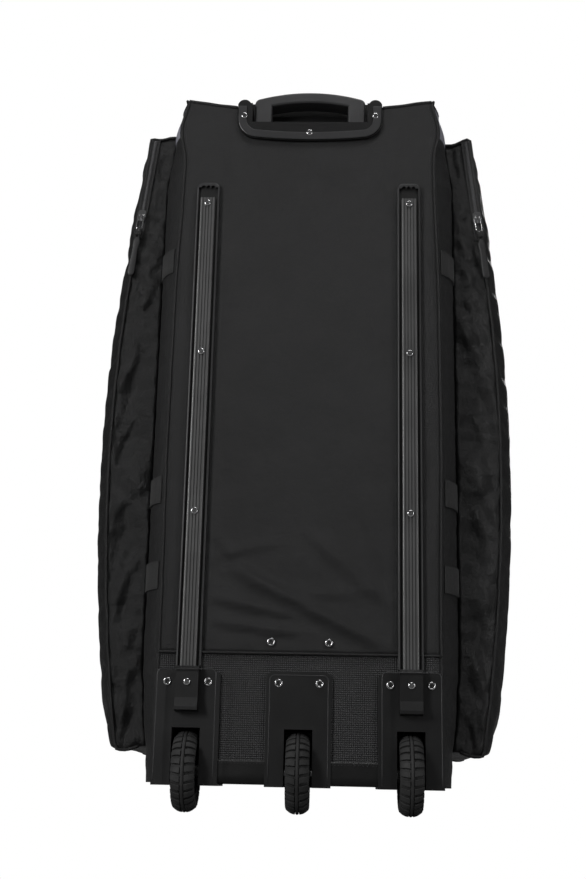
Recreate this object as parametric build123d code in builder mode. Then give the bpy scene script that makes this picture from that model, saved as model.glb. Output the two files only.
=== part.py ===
from build123d import *
import os
from math import atan2, cos, degrees, hypot, sin, sqrt

# Upright rolling hockey equipment bag. Millimetres, +Z up along the bag, the rolling back faces -Y,
# the width runs along X. The wheels and the front feet stand on Z = 0. "left" is -X.
# Depths are measured from the outer face of the back panel (d = 0) towards +Y, and heights (h)
# from the bottom of the main compartment.

# ---------------------------------------------------------------- driving sizes
body_height = 985
panel_width = 381          # flat back and front panels
body_depth = 370
corner_flare = 23.5        # how far the sides swell beyond the panels
corner_setback = 45        # depth over which they swell
wall = 4                   # padded fabric wall
soft_gap = 0.3             # rest gap between pieces that lie on each other

wheel_radius = 52
wheel_width = 31
wheel_inset = 20           # axle behind the back panel
axle_height = 15           # axle above the bottom of the compartment
axle_radius = 4
tyre_height = 16
tyre_crown = 7             # how far the tread falls to its shoulders
rail_inset = 43.5          # outer wheels and rails from the panel's edge
running_clearance = 0.05

housing_width = 86
housing_height = 144
housing_reach = 92         # under the bag
shell = 3                  # moulded plastic plates
cheek = 2.5
well_clearance = 3
rivet_offset = 27
rivet_height = 129

boot_low = 90
boot_high = 149
boot_width = 30
boot_proud = 14

rail_top_gap = 132         # rails end this far below the top of the bag
rail_width = 34
rail_floor = 2.5
rim_width = 3
rim_height = 6
strip_top_gap = 26         # ribbed strip below the rail's end
strip_width = 21.5
strip_proud = 10
groove_count = 4
groove_width = 1.6
groove_depth = 1.2
screw_low = 128
screw_top_gap = 9          # top screw below the strip's end
screw_count = 4
screw_head_radius = 4.8
screw_head_height = 2.4
screw_radius = 2.1
hole_clearance = 0.15

board = 3                  # stiffener sheets
tube_spread = 70
outer_tube_wall = 1.3
tube_clearance = 0.2
inner_tube_radius = 9.5
inner_tube_wall = 1.5
handle_travel = 320
tube_overlap = 110
socket_depth = 15
bezel_side = 22            # flange beside the recess
bezel_screw_inset = 10
bezel_screw_drop = 20
bezel_foot_screw_drop = 48
bezel_drop = 61
bezel_lip = 1.5
bezel_bow = 4              # how far the flange's lower edge bows down
bezel_corner = 30
ear_radius = 10
ear_rise = 7               # ears above the bag
recess_side_gap = 3        # between the recess and the grip
recess_drop = 30
recess_depth = 38
grip_half = 83
grip_post = 26
grip_depth = 28
grip_rise = 24             # top of the grip above the bag at its middle
grip_sag = 13              # how much lower its ends are
grip_bar = 17
button_length = 23
button_width = 11
button_proud = 4
button_travel = 4
rod_radius = 2
pin_radius = 2.5
pin_length = 9
pin_height = 15            # above the inner tube's lower end
plug_length = 30
bracket_height = 183
bracket_bolt = 38.5
bracket_rise = 48
bracket_plate = 6
bracket_wall = 4
back_board_low = 80
back_board_top_gap = 65

pocket_low = 46
pocket_top_gap = 29
pocket_rear = 48
pocket_front_gap = 70
pocket_top_out = 34        # thickness at the top, at the zip's lower end, at the bulge and at the foot
pocket_zip_out = 54
pocket_bulge = 75.5
pocket_foot_out = 44
pocket_zip_length = 171
pocket_bulge_height = 400
pocket_wall = 3
zip_width = 10
zip_thickness = 2.5
zip_edge = 12              # zip's middle inside the pocket's outer edge
slider_drop = 134          # slider below the pocket's top

lid_border = 50.5          # opening inside the panel's edge
lid_low = 90
lid_top_gap = 85
lid_corner = 70
zip_half = 2.7
zip_gap = 0.6
zip_proud = 1.5
hinge_gap = 0.6

strap_width = 38
strap = 3
haul_low = 271
haul_top_gap = 253
haul_rise = 26
haul_inset = 19.5          # strap's middle inside the panel's edge
sleeve_length = 120
sleeve_wall = 3
middle_patch = 390
side_handle_height = 440
side_handle_rise = 14
side_handle_half = 84
side_handle_end = 30        # sewn length at each end
top_handle_rise = 28
top_handle_depth = 189

foot_inset = 16.5
foot_front_gap = 42
foot_plate = (32, 70)
foot_leg = (22, 42)
pad_height = 4
foot_screw_spread = 28

# ---------------------------------------------------------------- derived frame
ground = wheel_radius - axle_height
rear_reach = wheel_radius - wheel_inset
front_reach = haul_rise + strap + sleeve_wall
y_back = rear_reach - (rear_reach + body_depth + front_reach) / 2
y_front = y_back + body_depth
z_top = ground + body_height
half_panel = panel_width / 2
half_body = half_panel + corner_flare
track = half_panel - rail_inset
rail_top = body_height - rail_top_gap
strip_top = rail_top - strip_top_gap
screw_pitch = (strip_top - screw_top_gap - screw_low) / (screw_count - 1)
pocket_high = body_height - pocket_top_gap
pocket_zip_low = pocket_high - pocket_zip_length
pocket_front = body_depth - pocket_front_gap
slider_height = pocket_high - slider_drop
lid_half = half_panel - lid_border
lid_high = body_height - lid_top_gap
haul_high = body_height - haul_top_gap
haul_x = half_panel - haul_inset
patch_heights = (haul_low, middle_patch, haul_high)
foot_x = half_panel - foot_inset
foot_depth = body_depth - foot_front_gap
outer_tube_radius = inner_tube_radius + tube_clearance + outer_tube_wall
recess_half = grip_half + recess_side_gap
bezel_half = recess_half + bezel_side
corner_radius = (corner_flare**2 + corner_setback**2) / (2 * corner_flare)
tube_depth = wall + board + soft_gap + outer_tube_radius
stack = wall + board
bezel_points = (
    (bezel_screw_inset - bezel_half, z_top - bezel_screw_drop),
    (bezel_half - bezel_screw_inset, z_top - bezel_screw_drop),
    (0, z_top - bezel_foot_screw_drop),
)

os.makedirs("parts", exist_ok=True)


def across(d):
    """Upright plane facing the back at depth d, with X across and Z up."""
    return Plane.XZ.offset(-(y_back + d))


def level(h):
    """Level plane at height h above the bottom of the compartment."""
    return Plane.XY.offset(ground + h)


def section(inset):
    """Plan section of the compartment: flat front and back, swollen sides."""
    r = corner_radius - inset
    centre_x = half_body - corner_radius
    near = y_back + corner_setback
    far = y_front - corner_setback
    flat = centre_x + sqrt(r**2 - (corner_setback - inset) ** 2)
    turn = atan2(corner_setback - inset, flat - centre_x) / 2
    bulge_x = centre_x + r * cos(turn)
    bulge_y = r * sin(turn)
    with BuildSketch() as outline:
        with BuildLine():
            Line((-flat, y_back + inset), (flat, y_back + inset))
            ThreePointArc((flat, y_back + inset), (bulge_x, near - bulge_y), (centre_x + r, near))
            Line((centre_x + r, near), (centre_x + r, far))
            ThreePointArc((centre_x + r, far), (bulge_x, far + bulge_y), (flat, y_front - inset))
            Line((flat, y_front - inset), (-flat, y_front - inset))
            ThreePointArc((-flat, y_front - inset), (-bulge_x, far + bulge_y), (-centre_x - r, far))
            Line((-centre_x - r, far), (-centre_x - r, near))
            ThreePointArc((-centre_x - r, near), (-bulge_x, near - bulge_y), (-flat, y_back + inset))
        make_face()
    return outline.sketch


foot_places = [(s * foot_x, y_back + foot_depth) for s in (-1, 1)]
foot_screw_places = [(x, y + dy) for x, y in foot_places for dy in (-foot_screw_spread, foot_screw_spread)]


def wheel_places():
    return [("left", -track), ("middle", 0), ("right", track)]


def sides():
    return [("left", -1), ("right", 1)]


def rail_screw_heights():
    return [screw_low + i * screw_pitch for i in range(screw_count)]


def screw(head, length, radius=screw_radius, rise=screw_head_height, cross=True):
    """Pan-head screw at the origin, its head towards -Y and its shank towards +Y."""
    with BuildPart() as made:
        with BuildSketch(Plane.XZ):
            Circle(head)
        extrude(amount=rise)
        fillet(made.faces().sort_by(Axis.Y)[0].edges(), rise * 0.7)
        with BuildSketch(Plane.XZ):
            Circle(radius)
        extrude(amount=-length)
        if cross:
            with BuildSketch(Plane.XZ.offset(rise)):
                Rectangle(head * 1.05, head * 0.2)
                Rectangle(head * 0.2, head * 1.05)
            extrude(amount=-rise * 0.4, mode=Mode.SUBTRACT)
    return made.part


# ---------------------------------------------------------------- compartment walls
slot_half = wheel_width / 2 + well_clearance + cheek + soft_gap
well_top = axle_height + wheel_radius + well_clearance
well_depth = wheel_inset + wheel_radius + well_clearance
notch_half = recess_half + shell + soft_gap

with BuildPart() as back_panel:
    with BuildSketch(across(wall)):
        with Locations((0, ground + body_height / 2)):
            Rectangle(panel_width, body_height - 2 * wall)
        with Locations((0, z_top)):
            Rectangle(2 * notch_half, 2 * (recess_drop + shell + soft_gap), mode=Mode.SUBTRACT)
        with Locations(*[(x, ground) for _, x in wheel_places()]):
            Rectangle(2 * slot_half, 2 * (well_top + cheek + soft_gap), mode=Mode.SUBTRACT)
        with Locations(*[(s * track, ground + h) for _, s in sides() for h in rail_screw_heights()]):
            Circle(screw_radius + hole_clearance, mode=Mode.SUBTRACT)
        with Locations((-bracket_bolt, ground + bracket_height), (bracket_bolt, ground + bracket_height)):
            Circle(screw_radius + hole_clearance, mode=Mode.SUBTRACT)
        with Locations(*[(x + s * rivet_offset, ground + rivet_height)
                         for _, x in wheel_places() for _, s in sides()]):
            Circle(screw_radius + hole_clearance, mode=Mode.SUBTRACT)
        with Locations(*bezel_points):
            Circle(screw_radius + hole_clearance, mode=Mode.SUBTRACT)
    extrude(amount=wall)
back_panel.part.label = "back_panel"
export_step(back_panel.part, "parts/back_panel.step")

for name, side in sides():
    with BuildPart() as side_panel:
        with BuildSketch(level(wall)):
            add(section(0))
            add(section(wall), mode=Mode.SUBTRACT)
            with Locations((side * (half_panel - half_body) / 2, 0)):
                Rectangle(half_body + half_panel, 2 * body_depth, mode=Mode.SUBTRACT)
        extrude(amount=body_height - 2 * wall)
    side_panel.part.label = f"side_panel_{name}"
    export_step(side_panel.part, f"parts/side_panel_{name}.step")

with BuildPart() as top_panel:
    with BuildSketch(level(body_height - wall)):
        add(section(0))
        with Locations((0, y_back)):
            Rectangle(2 * notch_half, 2 * (recess_depth + shell + soft_gap), mode=Mode.SUBTRACT)
    extrude(amount=wall)
top_panel.part.label = "top_panel"
export_step(top_panel.part, "parts/top_panel.step")

with BuildPart() as bottom_panel:
    with BuildSketch(level(0)):
        add(section(0))
        with Locations(*[(x, y_back) for _, x in wheel_places()]):
            Rectangle(2 * slot_half, 2 * (well_depth + cheek + soft_gap), mode=Mode.SUBTRACT)
        with Locations(*foot_screw_places):
            Circle(screw_radius + hole_clearance, mode=Mode.SUBTRACT)
    extrude(amount=wall)
bottom_panel.part.label = "bottom_panel"
export_step(bottom_panel.part, "parts/bottom_panel.step")


def lid_outline(inset, hinge_clear):
    """Front opening: square corners on the hinge side, round ones on the other."""
    low = ground + lid_low + inset
    high = ground + lid_high - inset
    far = lid_half - inset
    start = -lid_half + hinge_clear
    r = lid_corner - inset
    k = r * (1 - sqrt(0.5))
    with BuildSketch() as outline:
        with BuildLine():
            Line((start, low), (far - r, low))
            ThreePointArc((far - r, low), (far - k, low + k), (far, low + r))
            Line((far, low + r), (far, high - r))
            ThreePointArc((far, high - r), (far - k, high - k), (far - r, high))
            Line((far - r, high), (start, high))
            Line((start, high), (start, low))
        make_face()
    return outline.sketch


with BuildPart() as front_panel:
    with BuildSketch(across(body_depth)):
        with Locations((0, ground + body_height / 2)):
            Rectangle(panel_width, body_height - 2 * wall)
        add(lid_outline(0, 0), mode=Mode.SUBTRACT)
    extrude(amount=wall)
front_panel.part.label = "front_panel"
export_step(front_panel.part, "parts/front_panel.step")

zip_total = 2 * zip_half + zip_gap
zip_start = 6
with BuildPart() as lid_panel:
    with BuildSketch(across(body_depth)):
        add(lid_outline(zip_total, hinge_gap))
    extrude(amount=wall)
lid_panel.part.label = "lid_panel"
export_step(lid_panel.part, "parts/lid_panel.step")

with BuildPart() as lid_zip_outer:
    with BuildSketch(across(body_depth + zip_proud)):
        add(lid_outline(0, zip_start))
        add(lid_outline(zip_half, zip_start), mode=Mode.SUBTRACT)
    extrude(amount=wall + zip_proud)
lid_zip_outer.part.label = "lid_zip_outer"
export_step(lid_zip_outer.part, "parts/lid_zip_outer.step")

with BuildPart() as lid_zip_inner:
    with BuildSketch(across(body_depth + zip_proud)):
        add(lid_outline(zip_half + zip_gap, zip_start))
        add(lid_outline(zip_total, zip_start), mode=Mode.SUBTRACT)
    extrude(amount=wall + zip_proud)
lid_zip_inner.part.label = "lid_zip_inner"
export_step(lid_zip_inner.part, "parts/lid_zip_inner.step")

# Two lid sliders near mid-height. Each is a front wing over both coils, with a bail and a pull.
slider_x = lid_half - zip_total / 2
slider_meet = (lid_low + lid_high) / 2
slider_base = body_depth + zip_proud + soft_gap
slider_length = 14
slider_part = 44           # between the two sliders, room for the upper pull
slider_wing = 2.4
bail_height = 4
bail_eye = 2               # eye below the bail's crest
lid_pull_length = 30
pull_wire = 2
pull_depth = slider_base + slider_wing + bail_height - bail_eye
for name, way in (("upper", 1), ("lower", -1)):
    middle = ground + slider_meet + way * slider_part / 2
    with BuildPart() as lid_slider:
        with BuildSketch(across(slider_base + slider_wing)):
            with Locations((slider_x, middle)):
                RectangleRounded(11, slider_length, 3)
        extrude(amount=slider_wing)
        with Locations((slider_x, y_back + slider_base + slider_wing + bail_height / 2, middle)):
            Box(2.4, bail_height, 9)
        with Locations((slider_x, y_back + pull_depth, middle)):
            Cylinder(pull_wire / 2 + 0.1, 2.4, rotation=(0, 90, 0), mode=Mode.SUBTRACT)
    lid_slider.part.label = f"lid_slider_{name}"
    export_step(lid_slider.part, f"parts/lid_slider_{name}.step")

    with BuildPart() as lid_pull:
        with Locations((slider_x, y_back + pull_depth, middle)):
            Cylinder(pull_wire / 2, 8, rotation=(0, 90, 0))
        with BuildSketch(across(pull_depth + pull_wire / 2)):
            with Locations((slider_x - 3, middle - 5), (slider_x + 3, middle - 5)):
                Rectangle(pull_wire, 10)
            with Locations((slider_x, middle - 8 - (lid_pull_length - 8) / 2)):
                RectangleRounded(9, lid_pull_length - 8, 3)
        extrude(amount=pull_wire)
    lid_pull.part.label = f"lid_pull_{name}"
    export_step(lid_pull.part, f"parts/lid_pull_{name}.step")

# ---------------------------------------------------------------- stiffeners
with BuildPart() as back_board:
    with BuildSketch(across(stack)):
        with Locations((0, ground + (back_board_low + body_height - back_board_top_gap) / 2)):
            RectangleRounded(2 * track + 50, body_height - back_board_top_gap - back_board_low, 15)
        with Locations(*[(s * track, ground + h) for _, s in sides() for h in rail_screw_heights()]):
            Circle(screw_radius + hole_clearance, mode=Mode.SUBTRACT)
        with Locations((-bracket_bolt, ground + bracket_height), (bracket_bolt, ground + bracket_height)):
            Circle(screw_radius + hole_clearance, mode=Mode.SUBTRACT)
        with Locations(*[(x + s * rivet_offset, ground + rivet_height)
                         for _, x in wheel_places() for _, s in sides()]):
            Circle(screw_radius + hole_clearance, mode=Mode.SUBTRACT)
    extrude(amount=board)
back_board.part.label = "back_board"
export_step(back_board.part, "parts/back_board.step")

board_rear = well_depth + cheek + 6
with BuildPart() as base_board:
    with BuildSketch(level(wall)):
        with Locations((0, y_back + (board_rear + body_depth - wall) / 2)):
            RectangleRounded(panel_width, body_depth - wall - board_rear - 2, 20)
        with Locations(*foot_screw_places):
            Circle(screw_radius + hole_clearance, mode=Mode.SUBTRACT)
    extrude(amount=board)
base_board.part.label = "base_board"
export_step(base_board.part, "parts/base_board.step")

# ---------------------------------------------------------------- wheels
well_half = wheel_width / 2 + well_clearance
axle_y = y_back + wheel_inset
axle_z = ground + axle_height
rim_radius = wheel_radius - tyre_height
bush_radius = 7

for name, x in wheel_places():
    axle_line = Plane.YZ.offset(x)
    with BuildPart() as housing:
        with BuildSketch(across(0)):
            with Locations((x, ground + (housing_height - shell) / 2)):
                Rectangle(housing_width, housing_height + shell)
        extrude(amount=shell)
        fillet(housing.edges().filter_by(Axis.Y).group_by(Axis.Z)[-1], 10)
        with BuildSketch(level(-shell)):
            with Locations((x, y_back + housing_reach / 2)):
                Rectangle(housing_width, housing_reach)
        extrude(amount=shell)
        with Locations((x, y_back + (well_depth + cheek) / 2, ground + (well_top + cheek) / 2)):
            Box(2 * (well_half + cheek), well_depth + cheek, well_top + cheek)
        with BuildSketch(Plane.YZ.offset(x - well_half)):
            with Locations((y_back + well_depth / 2 - shell, ground + well_top / 2 - shell)):
                Rectangle(well_depth + 2 * shell, well_top + 2 * shell)
        extrude(amount=2 * well_half, mode=Mode.SUBTRACT)
        if x:
            with BuildSketch(Plane.YZ.offset(x - boot_width / 2)):
                with BuildLine():
                    Polyline(
                        (y_back - shell, ground + boot_low),
                        (y_back - boot_proud - 4, ground + boot_low + 2),
                        (y_back - boot_proud - 4, ground + boot_low + 6),
                        (y_back - boot_proud, ground + boot_low + 18),
                        (y_back - boot_proud, ground + boot_high - 3),
                        (y_back - boot_proud + 3, ground + boot_high),
                        (y_back, ground + boot_high),
                        (y_back, ground + boot_low),
                        close=True,
                    )
                make_face()
            extrude(amount=boot_width)
        with BuildSketch(across(1)):
            with Locations(*[(x + s * rivet_offset, ground + rivet_height) for _, s in sides()]):
                Circle(screw_radius + hole_clearance)
            if x:
                with Locations((x, ground + screw_low)):
                    Circle(screw_radius + hole_clearance)
        extrude(amount=30, mode=Mode.SUBTRACT)
        with BuildSketch(Plane.YZ.offset(x - well_half - cheek - 1)):
            with Locations((axle_y, axle_z)):
                Circle(axle_radius + 2 * running_clearance)
        extrude(amount=2 * (well_half + cheek) + 2, mode=Mode.SUBTRACT)
    housing.part.label = f"wheel_housing_{name}"
    export_step(housing.part, f"parts/wheel_housing_{name}.step")

    with BuildPart() as tyre:
        with BuildSketch(Plane.XY.offset(0)):
            with BuildLine():
                half = wheel_width / 2
                shoulder = wheel_radius - tyre_crown
                Polyline((-half + 3, rim_radius + 0.05), (-half, rim_radius + 5), (-half, shoulder))
                ThreePointArc((-half, shoulder), (0, wheel_radius), (half, shoulder))
                Polyline(
                    (half, shoulder), (half, rim_radius + 5), (half - 3, rim_radius + 0.05),
                    (-half + 3, rim_radius + 0.05),
                )
            make_face()
        revolve(axis=Axis.X)
    tyre.part.locate(Location((x, axle_y, axle_z)))
    tyre.part.label = f"tyre_{name}"
    export_step(tyre.part, f"parts/tyre_{name}.step")

    with BuildPart() as rim:
        with Locations((x, axle_y, axle_z)):
            Cylinder(rim_radius, wheel_width - 6, rotation=(0, 90, 0))
            with Locations((-wheel_width / 4 - 1, 0, 0), (wheel_width / 4 + 1, 0, 0)):
                Cylinder(rim_radius - 4, wheel_width / 2 - 6, rotation=(0, 90, 0), mode=Mode.SUBTRACT)
            Cylinder(bush_radius + 4, wheel_width - 4, rotation=(0, 90, 0))
            Cylinder(bush_radius + 0.03, wheel_width, rotation=(0, 90, 0), mode=Mode.SUBTRACT)
        with BuildSketch(axle_line.offset(-5)):
            with Locations((axle_y, axle_z)):
                with PolarLocations(21.5, 5):
                    Circle(6)
        extrude(amount=10, mode=Mode.SUBTRACT)
    rim.part.label = f"rim_{name}"
    export_step(rim.part, f"parts/rim_{name}.step")

    with BuildPart() as bushes:
        for s in (-1, 1):
            with Locations((x + s * (wheel_width / 4 + 1), axle_y, axle_z)):
                Cylinder(bush_radius, wheel_width / 2 - 3, rotation=(0, 90, 0))
            with Locations((x + s * (wheel_width / 2 + 0.2), axle_y, axle_z)):
                Cylinder(bush_radius + 2, 2, rotation=(0, 90, 0))
        with Locations((x, axle_y, axle_z)):
            Cylinder(axle_radius + running_clearance, 2 * wheel_width, rotation=(0, 90, 0), mode=Mode.SUBTRACT)
    bushes.part.label = f"bushes_{name}"
    export_step(bushes.part, f"parts/bushes_{name}.step")

axle_half = well_half + cheek
with BuildPart() as axles:
    for name, x in wheel_places():
        with Locations((x, axle_y, axle_z)):
            Cylinder(axle_radius, 2 * axle_half + 1, rotation=(0, 90, 0))
        with Locations((x - axle_half - 1.5, axle_y, axle_z), (x + axle_half + 1.5, axle_y, axle_z)):
            Cylinder(axle_radius + 2.5, 2.4, rotation=(0, 90, 0))
axles.part.label = "axles"
export_step(axles.part, "parts/axles.step")

with BuildPart() as housing_rivets:
    for name, x in wheel_places():
        for _, s in sides():
            rivet = screw(5.5, shell + stack + 1, rise=1.8, cross=False)
            add(Pos(x + s * rivet_offset, y_back - shell, ground + rivet_height) * rivet)
housing_rivets.part.label = "housing_rivets"
export_step(housing_rivets.part, "parts/housing_rivets.step")

# ---------------------------------------------------------------- skid rails
for name, side in sides():
    x = side * track
    with BuildPart() as rail_base:
        with BuildSketch(across(0)):
            with Locations((x, ground + (rail_top + boot_high) / 2)):
                Rectangle(rail_width, rail_top - boot_high)
        extrude(amount=rim_height)
        fillet(rail_base.edges().filter_by(Axis.Y).group_by(Axis.Z)[-1], 9)
        fillet(rail_base.faces().sort_by(Axis.Y)[0].edges().filter_by(Axis.Z), 2)
        with BuildSketch(across(-rail_floor)):
            with Locations((x, ground + (rail_top + boot_high) / 2 - 5)):
                Rectangle(rail_width - 2 * rim_width, rail_top - boot_high - 6)
            with Locations(*[(x + dx, ground + rail_top - 8) for dx in (-7, 0, 7)]):
                Circle(3.2)
        extrude(amount=rim_height, mode=Mode.SUBTRACT)
        with BuildSketch(across(0)):
            with Locations(*[(x, ground + h) for h in rail_screw_heights()[1:]]):
                Circle(screw_radius + hole_clearance)
        extrude(amount=rim_height, mode=Mode.SUBTRACT)
    rail_base.part.label = f"rail_base_{name}"
    export_step(rail_base.part, f"parts/rail_base_{name}.step")

    with BuildPart() as rail_strip:
        with BuildSketch(across(-rail_floor)):
            with Locations((x, ground + (strip_top + boot_high) / 2)):
                Rectangle(strip_width, strip_top - boot_high)
        extrude(amount=strip_proud - rail_floor)
        fillet(rail_strip.faces().sort_by(Axis.Y)[0].edges().filter_by(Axis.Z), 2)
        with BuildSketch(across(-strip_proud + groove_depth)):
            pitch = strip_width / (groove_count + 1)
            with Locations(*[(x + (i - (groove_count - 1) / 2) * pitch, ground + (strip_top + boot_high) / 2)
                             for i in range(groove_count)]):
                Rectangle(groove_width, strip_top - boot_high)
        extrude(amount=groove_depth, mode=Mode.SUBTRACT)
        with BuildSketch(across(0)):
            with Locations(*[(x, ground + h) for h in rail_screw_heights()[1:]]):
                Circle(screw_radius + hole_clearance)
        extrude(amount=2 * strip_proud, mode=Mode.SUBTRACT)
    rail_strip.part.label = f"rail_strip_{name}"
    export_step(rail_strip.part, f"parts/rail_strip_{name}.step")

# ---------------------------------------------------------------- telescopic handle
floor_z = z_top - recess_drop
with BuildPart() as handle_bezel:
    with BuildSketch(across(0)):
        corner_z = z_top - bezel_drop + bezel_bow
        with BuildLine():
            Line((-bezel_half, z_top), (-bezel_half, corner_z + bezel_corner))
            RadiusArc((-bezel_half, corner_z + bezel_corner), (bezel_corner - bezel_half, corner_z), -bezel_corner)
            ThreePointArc((bezel_corner - bezel_half, corner_z), (0, z_top - bezel_drop),
                          (bezel_half - bezel_corner, corner_z))
            RadiusArc((bezel_half - bezel_corner, corner_z), (bezel_half, corner_z + bezel_corner), -bezel_corner)
            Line((bezel_half, corner_z + bezel_corner), (bezel_half, z_top))
            Line((bezel_half, z_top), (-bezel_half, z_top))
        make_face()
        with Locations(*[(s * (bezel_half - ear_radius), z_top + ear_rise - ear_radius) for _, s in sides()]):
            Circle(ear_radius)
    extrude(amount=shell)
    with BuildSketch(Plane.XY.offset(z_top)):
        with Locations((0, y_back + (recess_depth + 16 - shell) / 2)):
            Rectangle(2 * bezel_half - 8, recess_depth + 16 + shell)
    extrude(amount=bezel_lip)
    with Locations((0, y_back + (recess_depth + shell) / 2, z_top - (recess_drop + shell) / 2)):
        Box(2 * (recess_half + shell), recess_depth + shell, recess_drop + shell)
    with Locations((0, y_back + recess_depth / 2 - 10, floor_z + 30)):
        Box(2 * recess_half, recess_depth + 20, 60, mode=Mode.SUBTRACT)
    with BuildSketch(Plane.XY.offset(floor_z - 2 * shell)):
        with Locations((-tube_spread, y_back + tube_depth), (tube_spread, y_back + tube_depth)):
            Circle(inner_tube_radius + soft_gap)
    extrude(amount=4 * shell, mode=Mode.SUBTRACT)
    with BuildSketch(across(1)):
        with Locations(*bezel_points):
            Circle(screw_radius + hole_clearance)
    extrude(amount=20, mode=Mode.SUBTRACT)
handle_bezel.part.label = "handle_bezel"
export_step(handle_bezel.part, "parts/handle_bezel.step")

with BuildPart() as pan_screws:
    for _, side in sides():
        for h in rail_screw_heights():
            proud = boot_proud if h == screw_low else strip_proud
            add(Pos(side * track, y_back - proud, ground + h) * screw(screw_head_radius, proud + stack + 2))
    for bx, bz in bezel_points:
        add(Pos(bx, y_back - shell, bz) * screw(screw_head_radius, shell + wall + 4))
pan_screws.part.label = "pan_screws"
export_step(pan_screws.part, "parts/pan_screws.step")


def grip_drop(x):
    """How far the arched grip falls at x from its middle."""
    return grip_sag * (x / grip_half) ** 2


def grip_arc(half, below):
    """Points of the grip's arch, at a depth below its top line."""
    top = z_top + grip_rise - below
    return (-half, top - grip_drop(half)), (0, top), (half, top - grip_drop(half))


def arch_band(half, upper, lower):
    """Closed band between two parallel arches."""
    a, b, c = grip_arc(half, upper)
    e, f, g = grip_arc(half, lower)
    with BuildSketch() as band:
        with BuildLine():
            ThreePointArc(a, b, c)
            Line(c, g)
            ThreePointArc(g, f, e)
            Line(e, a)
        make_face()
    return band.sketch


yoke_level = 6.3
yoke_thickness = 3
press_room = 0.5           # left under the yoke and the button when pressed
post_foot = floor_z + soft_gap
post_inner = grip_half - grip_post
grip_middle = tube_depth
with BuildPart() as grip:
    left, crown, right = grip_arc(grip_half, 0)
    inner_left, soffit, inner_right = grip_arc(post_inner, grip_bar)
    with BuildSketch(across(grip_middle + grip_depth / 2)):
        with BuildLine():
            ThreePointArc(left, crown, right)
            Line(right, (grip_half, post_foot))
            Line((grip_half, post_foot), (post_inner, post_foot))
            Line((post_inner, post_foot), inner_right)
            ThreePointArc(inner_right, soffit, inner_left)
            Line(inner_left, (-post_inner, post_foot))
            Line((-post_inner, post_foot), (-grip_half, post_foot))
            Line((-grip_half, post_foot), left)
        make_face()
    extrude(amount=grip_depth)
    fillet(grip.edges().filter_by(Axis.Y).group_by(Axis.Z)[-1], 9)
    fillet(grip.faces().sort_by(Axis.Y)[0].edges() + grip.faces().sort_by(Axis.Y)[-1].edges(), 3)
    with BuildSketch(across(grip_middle + 3.5)):
        add(arch_band(tube_spread + 4, yoke_level - soft_gap, yoke_level + yoke_thickness + button_travel + press_room))
    extrude(amount=7, mode=Mode.SUBTRACT)
    with BuildSketch(Plane.XY.offset(post_foot - 1)):
        with Locations((-tube_spread, y_back + grip_middle), (tube_spread, y_back + grip_middle)):
            Circle(inner_tube_radius + running_clearance)
    extrude(amount=socket_depth + 1, mode=Mode.SUBTRACT)
    with BuildSketch(Plane.XY.offset(post_foot)):
        with Locations((-tube_spread, y_back + grip_middle), (tube_spread, y_back + grip_middle)):
            Circle(rod_radius + 0.5)
    extrude(amount=recess_drop + grip_rise - grip_drop(tube_spread) - yoke_level - 2, mode=Mode.SUBTRACT)
    with BuildSketch(Plane.XY.offset(z_top + grip_rise - yoke_level - button_travel - press_room)):
        with Locations((0, y_back + grip_middle)):
            RectangleRounded(button_length + 2 * soft_gap, button_width + 2 * soft_gap, 5)
    extrude(amount=yoke_level + button_travel + press_room + 2, mode=Mode.SUBTRACT)
grip.part.label = "grip"
export_step(grip.part, "parts/grip.step")

with BuildPart() as grip_button:
    with BuildSketch(Plane.XY.offset(z_top + grip_rise - yoke_level)):
        with Locations((0, y_back + grip_middle)):
            RectangleRounded(button_length, button_width, 4.7)
    extrude(amount=yoke_level + button_proud)
    fillet(grip_button.faces().sort_by(Axis.Z)[-1].edges(), 2)
grip_button.part.label = "grip_button"
export_step(grip_button.part, "parts/grip_button.step")

tube_top = post_foot + socket_depth
tube_foot = floor_z - handle_travel - tube_overlap
pin_z = tube_foot + pin_height
rod_foot = pin_z + pin_radius + button_travel + soft_gap
with BuildPart() as release_yoke:
    with BuildSketch(across(grip_middle + 3)):
        add(arch_band(tube_spread + 2.5, yoke_level, yoke_level + yoke_thickness))
    extrude(amount=6)
    rod_top = z_top + grip_rise - yoke_level - yoke_thickness / 2 - grip_drop(tube_spread)
    with BuildSketch(Plane.XY.offset(rod_foot)):
        with Locations((-tube_spread, y_back + grip_middle), (tube_spread, y_back + grip_middle)):
            Circle(rod_radius)
    extrude(amount=rod_top - rod_foot)
release_yoke.part.label = "release_yoke"
export_step(release_yoke.part, "parts/release_yoke.step")

bracket_floor = ground + bracket_height - bracket_rise / 2
tube_y = y_back + tube_depth
with BuildPart() as inner_tubes:
    for _, side in sides():
        with BuildSketch(Plane.XY.offset(tube_foot)):
            with Locations((side * tube_spread, tube_y)):
                Circle(inner_tube_radius)
                Circle(inner_tube_radius - inner_tube_wall, mode=Mode.SUBTRACT)
        extrude(amount=tube_top - tube_foot)
        with BuildSketch(Plane.YZ.offset(side * tube_spread)):
            with Locations((tube_y, pin_z)):
                Circle(pin_radius + 0.2)
        extrude(amount=side * 15, mode=Mode.SUBTRACT)
inner_tubes.part.label = "inner_tubes"
export_step(inner_tubes.part, "parts/inner_tubes.step")

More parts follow.
